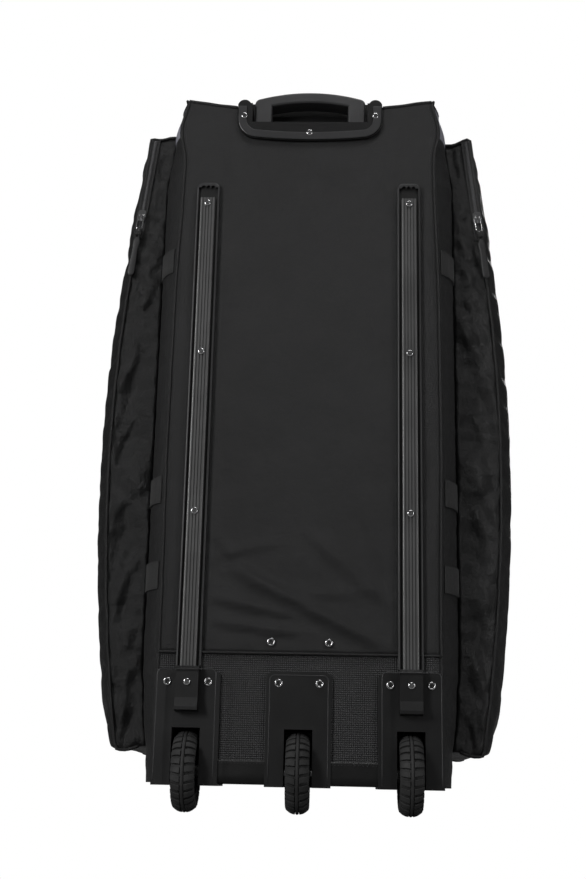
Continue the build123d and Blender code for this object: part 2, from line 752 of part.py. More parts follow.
with BuildPart() as outer_tubes:
    for _, side in sides():
        with BuildSketch(Plane.XY.offset(bracket_floor)):
            with Locations((side * tube_spread, tube_y)):
                Circle(outer_tube_radius)
                Circle(outer_tube_radius - outer_tube_wall, mode=Mode.SUBTRACT)
        extrude(amount=floor_z - shell - bracket_floor)
        with BuildSketch(Plane.YZ.offset(side * tube_spread)):
            with Locations((tube_y, pin_z + handle_travel)):
                Circle(pin_radius + 0.4)
        extrude(amount=side * 20, mode=Mode.SUBTRACT)
outer_tubes.part.label = "outer_tubes"
export_step(outer_tubes.part, "parts/outer_tubes.step")

nose = inner_tube_radius - 0.1
for name, side in sides():
    with BuildPart() as lock_pin:
        with BuildSketch(Plane.YZ.offset(side * (tube_spread + nose))):
            with Locations((tube_y, pin_z)):
                Circle(pin_radius)
        extrude(amount=-side * pin_length)
    lock_pin.part.label = f"lock_pin_{name}"
    export_step(lock_pin.part, f"parts/lock_pin_{name}.step")

with BuildPart() as tube_plugs:
    for name, side in sides():
        x = side * tube_spread
        y = y_back + tube_depth
        with BuildSketch(Plane.XY.offset(tube_foot)):
            with Locations((x, y)):
                Circle(inner_tube_radius - inner_tube_wall - running_clearance)
        extrude(amount=plug_length)
        with BuildSketch(Plane.YZ.offset(x - side * 4)):
            with Locations((y, pin_z)):
                Circle(pin_radius + 0.2)
        extrude(amount=side * 20, mode=Mode.SUBTRACT)
        with BuildSketch(Plane.XY.offset(pin_z)):
            with Locations((x, y)):
                Circle(rod_radius + 0.3)
        extrude(amount=plug_length, mode=Mode.SUBTRACT)
tube_plugs.part.label = "tube_plugs"
export_step(tube_plugs.part, "parts/tube_plugs.step")

with BuildPart() as lower_bracket:
    with Locations((0, y_back + stack + bracket_plate / 2, ground + bracket_height)):
        Box(2 * (tube_spread + outer_tube_radius + bracket_wall + 1), bracket_plate, bracket_rise)
    socket_reach = tube_depth + outer_tube_radius + bracket_wall - stack
    socket_middle = y_back + stack + socket_reach / 2
    with Locations(*[(s * tube_spread, socket_middle, ground + bracket_height - 9) for _, s in sides()]):
        Box(2 * (outer_tube_radius + bracket_wall), socket_reach, bracket_rise - 8)
    with BuildSketch(Plane.XY.offset(bracket_floor)):
        with Locations(*[(s * tube_spread, y_back + tube_depth) for _, s in sides()]):
            Circle(outer_tube_radius + running_clearance)
    extrude(amount=bracket_rise + 12, mode=Mode.SUBTRACT)
    with BuildSketch(across(stack - 1)):
        with Locations((-bracket_bolt, ground + bracket_height), (bracket_bolt, ground + bracket_height)):
            Circle(screw_radius + hole_clearance)
    extrude(amount=-20, mode=Mode.SUBTRACT)
lower_bracket.part.label = "lower_bracket"
export_step(lower_bracket.part, "parts/lower_bracket.step")

with BuildPart() as bracket_bolts:
    for _, s in sides():
        add(Pos(s * bracket_bolt, y_back, ground + bracket_height) * screw(5.6, stack + 10, rise=2))
bracket_bolts.part.label = "bracket_bolts"
export_step(bracket_bolts.part, "parts/bracket_bolts.step")

# ---------------------------------------------------------------- side pockets
zip_rise = pocket_high - pocket_zip_low
zip_lean = pocket_zip_out - pocket_top_out
zip_run = hypot(zip_rise, zip_lean)
zip_angle = degrees(atan2(zip_lean, zip_rise))


def pocket_crest():
    """How far the pocket's curved outer side stands out at its furthest."""
    (ax, ay), (bx, by), (cx, cy) = (
        (pocket_zip_out, pocket_zip_low), (pocket_bulge, pocket_bulge_height), (pocket_foot_out, pocket_low))
    d = 2 * (ax * (by - cy) + bx * (cy - ay) + cx * (ay - by))
    a, b, c = ax**2 + ay**2, bx**2 + by**2, cx**2 + cy**2
    middle_x = (a * (by - cy) + b * (cy - ay) + c * (ay - by)) / d
    middle_y = (a * (cx - bx) + b * (ax - cx) + c * (bx - ax)) / d
    return middle_x + hypot(ax - middle_x, ay - middle_y)


def pocket_outline(side, inset):
    """Pocket outline seen from the back, straight beside the zip and bulging below it."""
    root = half_body if inset == 0 else half_body - 1
    top = (side * (half_body + pocket_top_out - inset), ground + pocket_high - inset)
    knee = (side * (half_body + pocket_zip_out - inset), ground + pocket_zip_low)
    belly = (side * (half_body + pocket_bulge - inset), ground + pocket_bulge_height)
    foot = (side * (half_body + pocket_foot_out - inset), ground + pocket_low + inset)
    with BuildSketch() as outline:
        with BuildLine():
            Line((side * root, ground + pocket_high - inset), top)
            Line(top, knee)
            ThreePointArc(knee, belly, foot)
            Line(foot, (side * root, ground + pocket_low + inset))
            Line((side * root, ground + pocket_low + inset), (side * root, ground + pocket_high - inset))
        make_face()
    return outline.sketch


for name, side in sides():
    with BuildPart() as pocket:
        with BuildSketch(across(pocket_front)):
            add(pocket_outline(side, 0))
        extrude(amount=pocket_front - pocket_rear)
        with BuildSketch(across(pocket_front - pocket_wall)):
            add(pocket_outline(side, pocket_wall))
        extrude(amount=pocket_front - pocket_rear - 2 * pocket_wall, mode=Mode.SUBTRACT)
    pocket.part.label = f"pocket_{name}"
    export_step(pocket.part, f"parts/pocket_{name}.step")


def on_zip(side, height, proud):
    """Plane on a pocket's zip, this far proud of the pocket, with its Y axis up along the zip."""
    along = (pocket_high - height) / zip_rise
    x = side * (half_body + pocket_top_out + along * zip_lean - zip_edge)
    return Plane(
        origin=(x, y_back + pocket_rear - proud, ground + height),
        x_dir=(zip_rise / zip_run, 0, side * zip_lean / zip_run),
        z_dir=(0, -1, 0),
    )


def across_zip(side, height, proud):
    """Plane at the same place as on_zip, that faces across the zip."""
    return Plane(
        origin=on_zip(side, height, proud).origin,
        x_dir=(0, -1, 0),
        z_dir=(zip_rise / zip_run, 0, side * zip_lean / zip_run),
    )


with BuildPart() as pocket_zips:
    for _, side in sides():
        with BuildSketch(on_zip(side, (pocket_high + pocket_zip_low) / 2, 0)):
            Rectangle(zip_width, zip_run - 6)
        extrude(amount=zip_thickness)
pocket_zips.part.label = "pocket_zips"
export_step(pocket_zips.part, "parts/pocket_zips.step")

wing = 3                   # slider's front wing
eye_rise = 2.5             # bail's eye above the wing
eye_radius = 1.4
link_wire = 2.4
zip_top = zip_thickness + soft_gap
eye = zip_top + wing + eye_rise
link_half = 5.5
link_reach = 25            # from the eye to the far end of the loop
tab_length = 75
tab_thickness = 4
for name, side in sides():
    with BuildPart() as pocket_slider:
        with BuildSketch(on_zip(side, slider_height, zip_top)):
            RectangleRounded(12, 18, 3)
        extrude(amount=wing)
        with BuildSketch(on_zip(side, slider_height, zip_top + wing)):
            Rectangle(3, 12)
        extrude(amount=2 * eye_rise)
        with BuildSketch(across_zip(side, slider_height, eye)):
            Circle(eye_radius)
        extrude(amount=5, both=True, mode=Mode.SUBTRACT)
    pocket_slider.part.label = f"pocket_slider_{name}"
    export_step(pocket_slider.part, f"parts/pocket_slider_{name}.step")

    # Wire loop through the eye, and a moulded tab whose neck wraps the loop's far end.
    with BuildPart() as pocket_pull:
        with BuildSketch(on_zip(side, slider_height, eye - link_wire / 2)):
            with Locations((-link_half + link_wire / 2, 1 - link_reach / 2), (link_half - link_wire / 2, 1 - link_reach / 2)):
                Rectangle(link_wire, link_reach)
            with Locations((0, link_wire / 2 - link_reach)):
                Rectangle(2 * link_half, link_wire)
        extrude(amount=link_wire)
        with BuildSketch(across_zip(side, slider_height, eye)):
            Circle(eye_radius - 0.2)
        extrude(amount=link_half, both=True)
        with BuildSketch(on_zip(side, slider_height, eye - tab_thickness / 2)):
            with Locations((0, -link_reach - tab_length / 2)):
                RectangleRounded(2 * link_half, tab_length, 5)
        extrude(amount=tab_thickness)
    pocket_pull.part.label = f"pocket_pull_{name}"
    export_step(pocket_pull.part, f"parts/pocket_pull_{name}.step")

# ---------------------------------------------------------------- webbing
with BuildPart() as gusset_webbing:
    for _, side in sides():
        for h in patch_heights:
            with BuildSketch(level(h - strap_width / 2)):
                add(section(-soft_gap - 2))
                add(section(-soft_gap), mode=Mode.SUBTRACT)
                with Locations((-side * 4, 0)):
                    Rectangle(2 * half_panel + 8, 2 * body_depth, mode=Mode.SUBTRACT)
                with Locations((0, y_back + pocket_rear - 2)):
                    Rectangle(3 * half_body, 2 * body_depth, align=(Align.CENTER, Align.MIN), mode=Mode.SUBTRACT)
                with Locations((-side * half_body, 0)):
                    Rectangle(2 * half_body, 3 * body_depth, mode=Mode.SUBTRACT)
            extrude(amount=strap_width)
gusset_webbing.part.label = "gusset_webbing"
export_step(gusset_webbing.part, "parts/gusset_webbing.step")

strap_line = body_depth + soft_gap + strap / 2
lift = haul_rise - soft_gap
with BuildPart() as haul_handles:
    for _, side in sides():
        with BuildSketch(Plane.YZ.offset(side * haul_x - strap_width / 2)):
            with BuildLine():
                FilletPolyline(
                    (y_back + strap_line, ground + haul_low),
                    (y_back + strap_line, ground + haul_low + 62),
                    (y_back + strap_line + lift, ground + haul_low + 105),
                    (y_back + strap_line + lift, ground + haul_high - 105),
                    (y_back + strap_line, ground + haul_high - 62),
                    (y_back + strap_line, ground + haul_high),
                    radius=30,
                )
            trace(line_width=strap)
        extrude(amount=strap_width)
haul_handles.part.label = "haul_handles"
export_step(haul_handles.part, "parts/haul_handles.step")

with BuildPart() as haul_sleeves:
    sleeve_places = [(s * haul_x, y_back + strap_line + lift, ground + (haul_low + haul_high) / 2)
                     for _, s in sides()]
    with Locations(*sleeve_places):
        Box(strap_width + 2 * sleeve_wall, strap + 2 * sleeve_wall, sleeve_length)
    fillet(haul_sleeves.edges().filter_by(Axis.Z), 2.5)
    with Locations(*sleeve_places):
        Box(strap_width + 0.4, strap + 0.4, sleeve_length, mode=Mode.SUBTRACT)
haul_sleeves.part.label = "haul_sleeves"
export_step(haul_sleeves.part, "parts/haul_sleeves.step")

handle_y = y_back + (pocket_rear + pocket_front) / 2
ramp = 22                  # depth over which each side handle rises
with BuildPart() as side_handles:
    for _, side in sides():
        side_line = side * (half_body + pocket_crest() + soft_gap + strap / 2)
        raised = side_line + side * side_handle_rise
        sewn = side_handle_half - side_handle_end
        with BuildSketch(level(side_handle_height - strap_width / 2)):
            with BuildLine():
                FilletPolyline(
                    (side_line, handle_y - side_handle_half),
                    (side_line, handle_y - sewn),
                    (raised, handle_y - sewn + ramp),
                    (raised, handle_y + sewn - ramp),
                    (side_line, handle_y + sewn),
                    (side_line, handle_y + side_handle_half),
                    radius=14,
                )
            trace(line_width=strap)
        extrude(amount=strap_width)
side_handles.part.label = "side_handles"
export_step(side_handles.part, "parts/side_handles.step")

with BuildPart() as top_handle:
    top_line = z_top + soft_gap + strap / 2
    with BuildSketch(across(top_handle_depth + strap_width / 2)):
        with BuildLine():
            FilletPolyline(
                (-100, top_line), (-72, top_line), (-48, top_line + top_handle_rise),
                (48, top_line + top_handle_rise), (72, top_line), (100, top_line), radius=16,
            )
        trace(line_width=strap)
    extrude(amount=strap_width)
top_handle.part.label = "top_handle"
export_step(top_handle.part, "parts/top_handle.step")

# ---------------------------------------------------------------- front feet
with BuildPart() as front_feet:
    with BuildSketch(level(-shell)):
        with Locations(*foot_places):
            RectangleRounded(*foot_plate, 8)
    extrude(amount=shell)
    with BuildSketch(Plane.XY.offset(pad_height)):
        with Locations(*foot_places):
            RectangleRounded(*foot_leg, 6)
    extrude(amount=ground - shell - pad_height)
    with BuildSketch(level(-2 * shell)):
        with Locations(*foot_screw_places):
            Circle(screw_radius + hole_clearance)
    extrude(amount=3 * shell, mode=Mode.SUBTRACT)
front_feet.part.label = "front_feet"
export_step(front_feet.part, "parts/front_feet.step")

with BuildPart() as foot_pads:
    with BuildSketch(Plane.XY):
        with Locations(*foot_places):
            RectangleRounded(foot_leg[0] - 4, foot_leg[1] - 4, 5)
    extrude(amount=pad_height)
foot_pads.part.label = "foot_pads"
export_step(foot_pads.part, "parts/foot_pads.step")

with BuildPart() as foot_screws:
    for x, y in foot_screw_places:
        bolt = Rot(-90, 0, 0) * screw(3.6, shell + wall + board + 2, rise=1.6)
        add(Pos(x, y, ground - shell) * Rot(180, 0, 0) * bolt)
foot_screws.part.label = "foot_screws"
export_step(foot_screws.part, "parts/foot_screws.step")
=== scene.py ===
from math import atan2, cos, exp, pi, radians, sin, sqrt

import bmesh
import bpy
from mathutils import Matrix, Vector, noise


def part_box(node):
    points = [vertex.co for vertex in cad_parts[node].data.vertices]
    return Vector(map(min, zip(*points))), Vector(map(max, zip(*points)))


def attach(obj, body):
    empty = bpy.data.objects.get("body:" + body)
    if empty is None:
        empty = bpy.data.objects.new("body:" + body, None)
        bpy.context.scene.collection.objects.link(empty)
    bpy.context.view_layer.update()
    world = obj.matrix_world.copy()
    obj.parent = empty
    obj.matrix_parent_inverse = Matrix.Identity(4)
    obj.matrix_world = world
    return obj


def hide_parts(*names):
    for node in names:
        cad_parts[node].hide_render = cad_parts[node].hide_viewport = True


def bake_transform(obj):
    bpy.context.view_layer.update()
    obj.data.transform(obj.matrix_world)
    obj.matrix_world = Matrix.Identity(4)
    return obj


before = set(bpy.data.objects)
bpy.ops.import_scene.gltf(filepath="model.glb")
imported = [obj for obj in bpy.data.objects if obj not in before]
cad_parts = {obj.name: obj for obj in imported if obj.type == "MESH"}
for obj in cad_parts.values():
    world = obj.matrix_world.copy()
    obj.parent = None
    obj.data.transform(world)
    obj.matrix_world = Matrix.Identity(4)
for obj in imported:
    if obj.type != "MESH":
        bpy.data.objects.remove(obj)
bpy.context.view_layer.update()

# ---------------------------------------------------------------- frame sizes (metres)
back_low, back_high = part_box("back_panel")
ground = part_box("bottom_panel")[0].z
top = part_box("top_panel")[1].z
back = back_low.y
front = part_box("front_panel")[1].y
height = top - ground
half_panel = back_high.x
half_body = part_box("side_panel_right")[1].x
pocket_low, pocket_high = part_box("pocket_right")
rail_x = (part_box("rail_base_right")[0].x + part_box("rail_base_right")[1].x) / 2
rail_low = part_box("rail_base_left")[0].y
housing_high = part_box("wheel_housing_right")[1]
bezel_low, bezel_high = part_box("handle_bezel")
corner_setback = 0.045
corner_flare = half_body - half_panel
corner_radius = (corner_flare**2 + corner_setback**2) / (2 * corner_flare)
skin = 0.0032
LEFT, RIGHT = -1, 1


def clamp(v, low=0.0, high=1.0):
    return max(low, min(high, v))


def smooth(v):
    v = clamp(v)
    return v * v * (3 - 2 * v)


def mix(a, b, t):
    return a + (b - a) * t


def piecewise(points, v):
    """Smooth interpolation through (position, value) pairs."""
    if v <= points[0][0]:
        return points[0][1]
    for (a, p), (b, q) in zip(points, points[1:]):
        if v <= b:
            return mix(p, q, smooth((v - a) / (b - a)))
    return points[-1][1]


def lines(start, end, step, exact=()):
    """Evenly spaced grid lines from start to end that also pass through the exact ones."""
    marks = sorted({start, end, *[e for e in exact if start < e < end]})
    out = []
    for a, b in zip(marks, marks[1:]):
        n = max(1, round((b - a) / step))
        out += [a + (b - a) * i / n for i in range(n)]
    return out + [end]


# ---------------------------------------------------------------- materials
class Nodes:
    """Small helper that wires shader nodes of one material."""

    def __init__(self, name):
        self.mat = bpy.data.materials.new(name)
        self.mat.use_nodes = True
        self.tree = self.mat.node_tree
        self.shader = self.tree.nodes["Principled BSDF"]

    def add(self, kind, **inputs):
        node = self.tree.nodes.new(kind)
        for key, value in inputs.items():
            setattr(node, key, value)
        return node

    def link(self, a, b):
        self.tree.links.new(a, b)

    def math(self, operation, a, b=None):
        node = self.add("ShaderNodeMath", operation=operation)
        for socket, value in zip(node.inputs, (a, b)):
            if value is None:
                continue
            if isinstance(value, (int, float)):
                socket.default_value = value
            else:
                self.link(value, socket)
        return node.outputs[0]

    def coords(self):
        return self.add("ShaderNodeTexCoord").outputs["Object"]

    def noise(self, scale, detail=3.0, roughness=0.55, vector=None):
        node = self.add("ShaderNodeTexNoise")
        node.inputs["Scale"].default_value = scale
        node.inputs["Detail"].default_value = detail
        node.inputs["Roughness"].default_value = roughness
        self.link(vector or self.coords(), node.inputs["Vector"])
        return node.outputs["Fac"]

    def ramp(self, fac, low, high, start=0.3, end=0.7):
        node = self.add("ShaderNodeValToRGB")
        node.color_ramp.elements[0].position = start
        node.color_ramp.elements[0].color = low
        node.color_ramp.elements[1].position = end
        node.color_ramp.elements[1].color = high
        self.link(fac, node.inputs["Fac"])
        return node.outputs["Color"]

    def span(self, fac, low, high):
        node = self.add("ShaderNodeMapRange")
        node.inputs["To Min"].default_value = low
        node.inputs["To Max"].default_value = high
        self.link(fac, node.inputs["Value"])
        return node.outputs["Result"]

    def bump(self, height, strength, distance, normal=None):
        node = self.add("ShaderNodeBump")
        node.inputs["Strength"].default_value = strength
        node.inputs["Distance"].default_value = distance
        self.link(height, node.inputs["Height"])
        if normal is not None:
            self.link(normal, node.inputs["Normal"])
        return node.outputs["Normal"]

    def set(self, **values):
        for key, value in values.items():
            self.shader.inputs[key.replace("_", " ")].default_value = value

    def to(self, socket, value):
        self.link(value, self.shader.inputs[socket])


def grey(v, tint=0.0):
    return (v, v, v * (1 + tint), 1)


def surface_axes(n):
    """Two coordinates along the surface, picked by the face's normal: across and up."""
    position = n.add("ShaderNodeSeparateXYZ")
    n.link(n.coords(), position.inputs[0])
    facing = n.add("ShaderNodeSeparateXYZ")
    n.link(n.add("ShaderNodeNewGeometry").outputs["Normal"], facing.inputs[0])
    sideways = n.math("GREATER_THAN", n.math("ABSOLUTE", facing.outputs[0]), 0.62)
    level = n.math("GREATER_THAN", n.math("ABSOLUTE", facing.outputs[2]), 0.72)

    def choose(a, b, pick):
        node = n.add("ShaderNodeMix", data_type="FLOAT")
        n.link(pick, node.inputs["Factor"])
        n.link(a, node.inputs["A"])
        n.link(b, node.inputs["B"])
        return node.outputs["Result"]

    across = choose(position.outputs[0], position.outputs[1], sideways)
    up = choose(position.outputs[2], position.outputs[1], level)
    return across, up


def threads(n, coordinate, pitch):
    return n.math("SINE", n.math("MULTIPLY", coordinate, pi / pitch))


def fabric(name, value, pitch, relief, rough, sheen, tint=0.04, diagonal=False, crinkle=0.15, thread_highlight=0.0):
    """Woven cloth: plain weave of the given thread pitch, soft crinkles and uneven tone, with an optional
    painted highlight on the raised threads.
    """
    n = Nodes(name)
    across, up = surface_axes(n)
    if diagonal:
        across, up = n.math("ADD", across, up), n.math("SUBTRACT", across, up)
    weave = n.math("MULTIPLY", threads(n, across, pitch), threads(n, up, pitch))
    tone = n.noise(9.0, 4.0)
    low, high = grey(value * 0.8, tint), grey(value * 1.25, tint)
    color = n.ramp(tone, low, high)
    # Painted highlight: where the weave's threads stand up, the colour is lightened towards 3.2 times the
    # cloth's value.
    if thread_highlight:
        shade = n.span(weave, 0.0, thread_highlight)
        over = n.add("ShaderNodeMix", data_type="RGBA")
        n.link(shade, over.inputs["Factor"])
        n.link(color, over.inputs["A"])
        over.inputs["B"].default_value = grey(value * 3.2, tint)
        color = over.outputs["Result"]
    n.to("Base Color", color)
    n.to("Roughness", n.span(n.noise(30.0, 3.0), rough - 0.06, rough + 0.06))
    folds = n.bump(n.noise(55.0, 5.0, 0.6), crinkle, 0.004)
    n.to("Normal", n.bump(weave, 1.0, relief, folds))
    n.set(Sheen_Weight=sheen, Sheen_Roughness=0.45, Specular_IOR_Level=0.35)
    return n.mat


def plastic(name, value, rough, grain=900.0, relief=0.00012, tint=0.04, specular=0.5, deep=None):
    """Moulded plastic with a fine grain, faint wear and fingerprints in its gloss.

    deep is a pair of depths behind the back panel's plane, over which the colour goes from its own tone to
    near black: painted shade in the recess, with some dust."""
    n = Nodes(name)
    color = n.ramp(n.noise(14.0, 4.0), grey(value * 0.85, tint), grey(value * 1.2, tint))
    # Painted shade, with some dust: the colour darkens with depth behind the panel's plane, into the recess.
    if deep:
        place = n.add("ShaderNodeSeparateXYZ")
        n.link(n.coords(), place.inputs[0])
        shade_and_dust = n.add("ShaderNodeMapRange")
        shade_and_dust.inputs["From Min"].default_value = back + deep[0]
        shade_and_dust.inputs["From Max"].default_value = back + deep[1]
        n.link(place.outputs[1], shade_and_dust.inputs["Value"])
        shade = n.add("ShaderNodeMix", data_type="RGBA")
        n.link(shade_and_dust.outputs["Result"], shade.inputs["Factor"])
        n.link(color, shade.inputs["A"])
        shade.inputs["B"].default_value = grey(value * 0.12)
        color = shade.outputs["Result"]
    n.to("Base Color", color)
    n.to("Roughness", n.span(n.noise(22.0, 5.0, 0.65), rough - 0.08, rough + 0.1))
    n.to("Normal", n.bump(n.noise(grain, 2.0), 1.0, relief))
    n.set(Specular_IOR_Level=specular)
    return n.mat


def metal(name, color, rough, brushed=False):
    """Bright metal with fine scratches, or brushed along the bag."""
    n = Nodes(name)
    vector = n.coords()
    if brushed:
        stretch = n.add("ShaderNodeMapping")
        stretch.inputs["Scale"].default_value = (1, 1, 0.04)
        n.link(vector, stretch.inputs["Vector"])
        vector = stretch.outputs["Vector"]
    n.to("Roughness", n.span(n.noise(700.0, 4.0, 0.6, vector), rough * 0.6, rough * 1.5))
    n.to("Base Color", n.ramp(n.noise(120.0, 3.0), tuple(c * 0.75 for c in color[:3]) + (1,), color))
    n.to("Normal", n.bump(n.noise(1500.0, 2.0, 0.5, vector), 0.4, 0.00005))
    n.set(Metallic=1.0)
    return n.mat


def webbing_material(name, value, pitch=0.0016, upright=True):
    """Ribbed polypropylene webbing: strong cross ribs and fine length threads."""
    n = Nodes(name)
    across, up = surface_axes(n)
    if not upright:
        across, up = up, across
    ribs = n.math("ABSOLUTE", threads(n, up, pitch))
    fine = n.math("MULTIPLY", threads(n, across, pitch * 0.8), threads(n, up, pitch * 0.5))
    # Painted highlight and shade: the rib crests are lighter and the grooves darker in colour.
    n.to("Base Color", n.ramp(ribs, grey(value * 0.6), grey(value * 1.3), 0.1, 0.9))
    n.to("Roughness", n.span(n.noise(60.0), 0.5, 0.7))
    n.to("Normal", n.bump(ribs, 0.8, 0.0005, n.bump(fine, 0.6, 0.0003)))
    n.set(Sheen_Weight=0.15, Sheen_Roughness=0.4)
    return n.mat


def rubber(name, value):
    n = Nodes(name)
    n.to("Base Color", n.ramp(n.noise(40.0, 5.0), grey(value * 0.8), grey(value * 1.6), 0.35, 0.75))
    n.to("Roughness", n.span(n.noise(90.0, 4.0), 0.55, 0.85))
    n.to("Normal", n.bump(n.noise(600.0, 3.0), 0.8, 0.0002))
    n.set(Specular_IOR_Level=0.35)
    return n.mat


def leather(name, value):
    """Smooth coated vinyl with a shallow grain."""
    n = Nodes(name)
    cells = n.add("ShaderNodeTexVoronoi")
    cells.inputs["Scale"].default_value = 420.0
    n.link(n.coords(), cells.inputs["Vector"])
    n.to("Base Color", n.ramp(n.noise(12.0, 4.0), grey(value * 0.8), grey(value * 1.3)))
    n.to("Roughness", n.span(n.noise(25.0, 4.0), 0.32, 0.5))
    n.to("Normal", n.bump(cells.outputs["Distance"], 0.35, 0.0003, n.bump(n.noise(35.0), 0.2, 0.003)))
    n.set(Specular_IOR_Level=0.5)
    return n.mat


M = {
    "panel": fabric("panel_polyester", 0.0092, 0.0006, 0.00012, 0.56, 0.05, crinkle=0.4),
    "gusset": fabric("gusset_polyester", 0.0080, 0.0006, 0.00014, 0.5, 0.06, crinkle=0.7),
    "accent": fabric("accent_polyester", 0.22, 0.0006, 0.00012, 0.7, 0.1, tint=0.16),
    # Its raised threads carry a painted highlight.
    "ballistic": fabric("ballistic_weave", 0.0130, 0.0028, 0.0005, 0.45, 0.05, diagonal=True, thread_highlight=1.0),
    "nylon": fabric("pocket_nylon", 0.0042, 0.0005, 0.0001, 0.42, 0.04, crinkle=0.9),
    "vinyl": leather("base_vinyl", 0.004),
    # Near-black cloth laid where the handle's recess lies in shade: painted shade.
    "dark": fabric("recess_painted_shade", 0.002, 0.0006, 0.0001, 0.8, 0.0),
    "piping": fabric("piping_cover", 0.0070, 0.0005, 0.0001, 0.45, 0.05),
    "webbing": webbing_material("webbing_rib", 0.009),
    "band": webbing_material("webbing_rib_level", 0.008, upright=False),
    "tape": webbing_material("zip_tape_weave", 0.008, 0.0009),
    "thread": fabric("stitch_thread", 0.030, 0.0003, 0.0001, 0.5, 0.1),
    "coil": plastic("zip_coil", 0.09, 0.3),
    "housing": plastic("housing_plastic", 0.0058, 0.42),
    # The rail's channel floor darkens through deep: painted shade, with some dust.
    "rail": plastic("rail_plastic", 0.022, 0.42, deep=(rail_low - back + 0.0016, rail_low - back + 0.0032)),
    "strip": plastic("rail_strip_gunmetal", 0.078, 0.32, tint=0.0, specular=0.8),
    "bezel": plastic("bezel_plastic", 0.0045, 0.42, specular=0.3),
    # Lighter than the mouldings it sits on: a painted highlight along the raised beads and bands.
    "rim_highlight": plastic("rim_painted_highlight_plastic", 0.030, 0.3, specular=0.6),
    "boot": plastic("boot_plastic", 0.004, 0.34, specular=0.4),
    "grip": plastic("grip_plastic", 0.030, 0.36, grain=600.0, relief=0.0002, specular=0.6),
    "tab": plastic("pull_tab_rubber", 0.014, 0.5),
    "board": plastic("stiffener_sheet", 0.04, 0.5),
    "chrome": metal("chrome_plate", (0.75, 0.75, 0.76, 1), 0.16),
    "steel": metal("steel_ground", (0.5, 0.5, 0.51, 1), 0.3, True),
    "tube": metal("tube_anodised", (0.34, 0.34, 0.35, 1), 0.3, True),
    "bush": metal("bush_steel", (0.10, 0.10, 0.10, 1), 0.35),
    # Dark metal for the hollow centres of the rivet and bolt heads: painted shade.
    "dished": metal("rivet_hollow_painted_shade", (0.09, 0.09, 0.09, 1), 0.35),
    "tyre": rubber("tyre_rubber", 0.026),
    "pad": rubber("foot_rubber", 0.02),
}
SLOT = {
    "panel": "body_fabric", "gusset": "body_fabric", "accent": "accent_fabric", "ballistic": "base_fabric",
    "nylon": "pocket_fabric", "vinyl": "base_fabric", "piping": "body_fabric",
    "dark": "body_fabric", "rim_highlight": "handle_plastic", "dished": "screw_steel",
    "webbing": "webbing", "band": "webbing", "tape": "zip_tape", "thread": "webbing", "coil": "zip_tape",
    "chrome": "zip_metal", "tab": "pull_cord", "tyre": "tyre_rubber",
}

CAD_LOOK = {
    "housing": ["wheel_housing_left", "wheel_housing_middle", "wheel_housing_right", "front_feet"],
    "rail": ["rail_base_left", "rail_base_right"],
    "strip": ["rail_strip_left", "rail_strip_right"],
    "bezel": ["handle_bezel"],
    "boot": ["lower_bracket"],
    "grip": ["grip", "grip_button", "tube_plugs"],
    "chrome": ["pan_screws", "housing_rivets", "bracket_bolts", "foot_screws",
               "pocket_slider_left", "pocket_slider_right", "lid_slider_upper", "lid_slider_lower",
               "lid_pull_upper", "lid_pull_lower"],
    "steel": ["axles", "lock_pin_left", "lock_pin_right"],
    "tube": ["inner_tubes", "outer_tubes", "release_yoke"],
    "bush": ["bushes_left", "bushes_middle", "bushes_right"],
    "board": ["back_board", "base_board", "rim_left", "rim_middle", "rim_right"],
    "pad": ["foot_pads"],
}
BEVELLED = {
    "wheel_housing_left": 0.0009, "wheel_housing_middle": 0.0009, "wheel_housing_right": 0.0009,
    "handle_bezel": 0.0012, "front_feet": 0.0012,
}
for look, names in CAD_LOOK.items():
    for node in names:
        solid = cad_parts[node]
        solid.data.materials.clear()
        solid.data.materials.append(M[look])
for node, width in BEVELLED.items():
    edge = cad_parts[node].modifiers.new("edge", "BEVEL")
    edge.width = width
    edge.segments = 2
    edge.limit_method = "ANGLE"
    edge.angle_limit = radians(40)


# ---------------------------------------------------------------- mesh helpers
def piece(name, verts, faces, look, body="bag", slot=None, shade=True):
    """A mesh object of one material that rides on a body, or on none."""
    mesh = bpy.data.meshes.new(name)
    mesh.from_pydata([tuple(v) for v in verts], [], faces)
    mesh.validate()
    mesh.update()
    if shade:
        mesh.polygons.foreach_set("use_smooth", [True] * len(mesh.polygons))
    mesh.materials.append(M[look])
    obj = bpy.data.objects.new(name, mesh)
    bpy.context.scene.collection.objects.link(obj)
    if body:
        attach(obj, body)
    slot or SLOT[look]
    return obj


def outward(obj):
    """Turns the faces of a closed mesh outward."""
    bm = bmesh.new()
    bm.from_mesh(obj.data)
    bmesh.ops.recalc_face_normals(bm, faces=bm.faces)
    bm.to_mesh(obj.data)
    bm.free()
    return obj


def grid(columns, rows, place, skip=None, closed=False):
    """Vertices and quads of a grid of places; closed joins the last column to the first."""
    verts = [place(a, b) for b in rows for a in columns]
    n = len(columns)
    faces = []
    for j in range(len(rows) - 1):
        for i in range(n if closed else n - 1):
            k = (i + 1) % n
            if skip and skip((columns[i] + columns[k]) / 2, (rows[j] + rows[j + 1]) / 2):
                continue
            faces.append((j * n + i, j * n + k, (j + 1) * n + k, (j + 1) * n + i))
    return verts, faces


def thicken(obj, thickness, offset=-1.0):
    """Gives a sheet its wall; offset is the side of the sheet that the wall grows on."""
    wall = obj.modifiers.new("thickness", "SOLIDIFY")
    wall.thickness = thickness
    wall.offset = offset
    wall.use_even_offset = False
    return obj


def apply_all(obj):
    """Bakes the modifiers into the mesh."""
    depsgraph = bpy.context.evaluated_depsgraph_get()
    mesh = bpy.data.meshes.new_from_object(obj.evaluated_get(depsgraph))
    obj.modifiers.clear()
    obj.data = mesh
    return obj


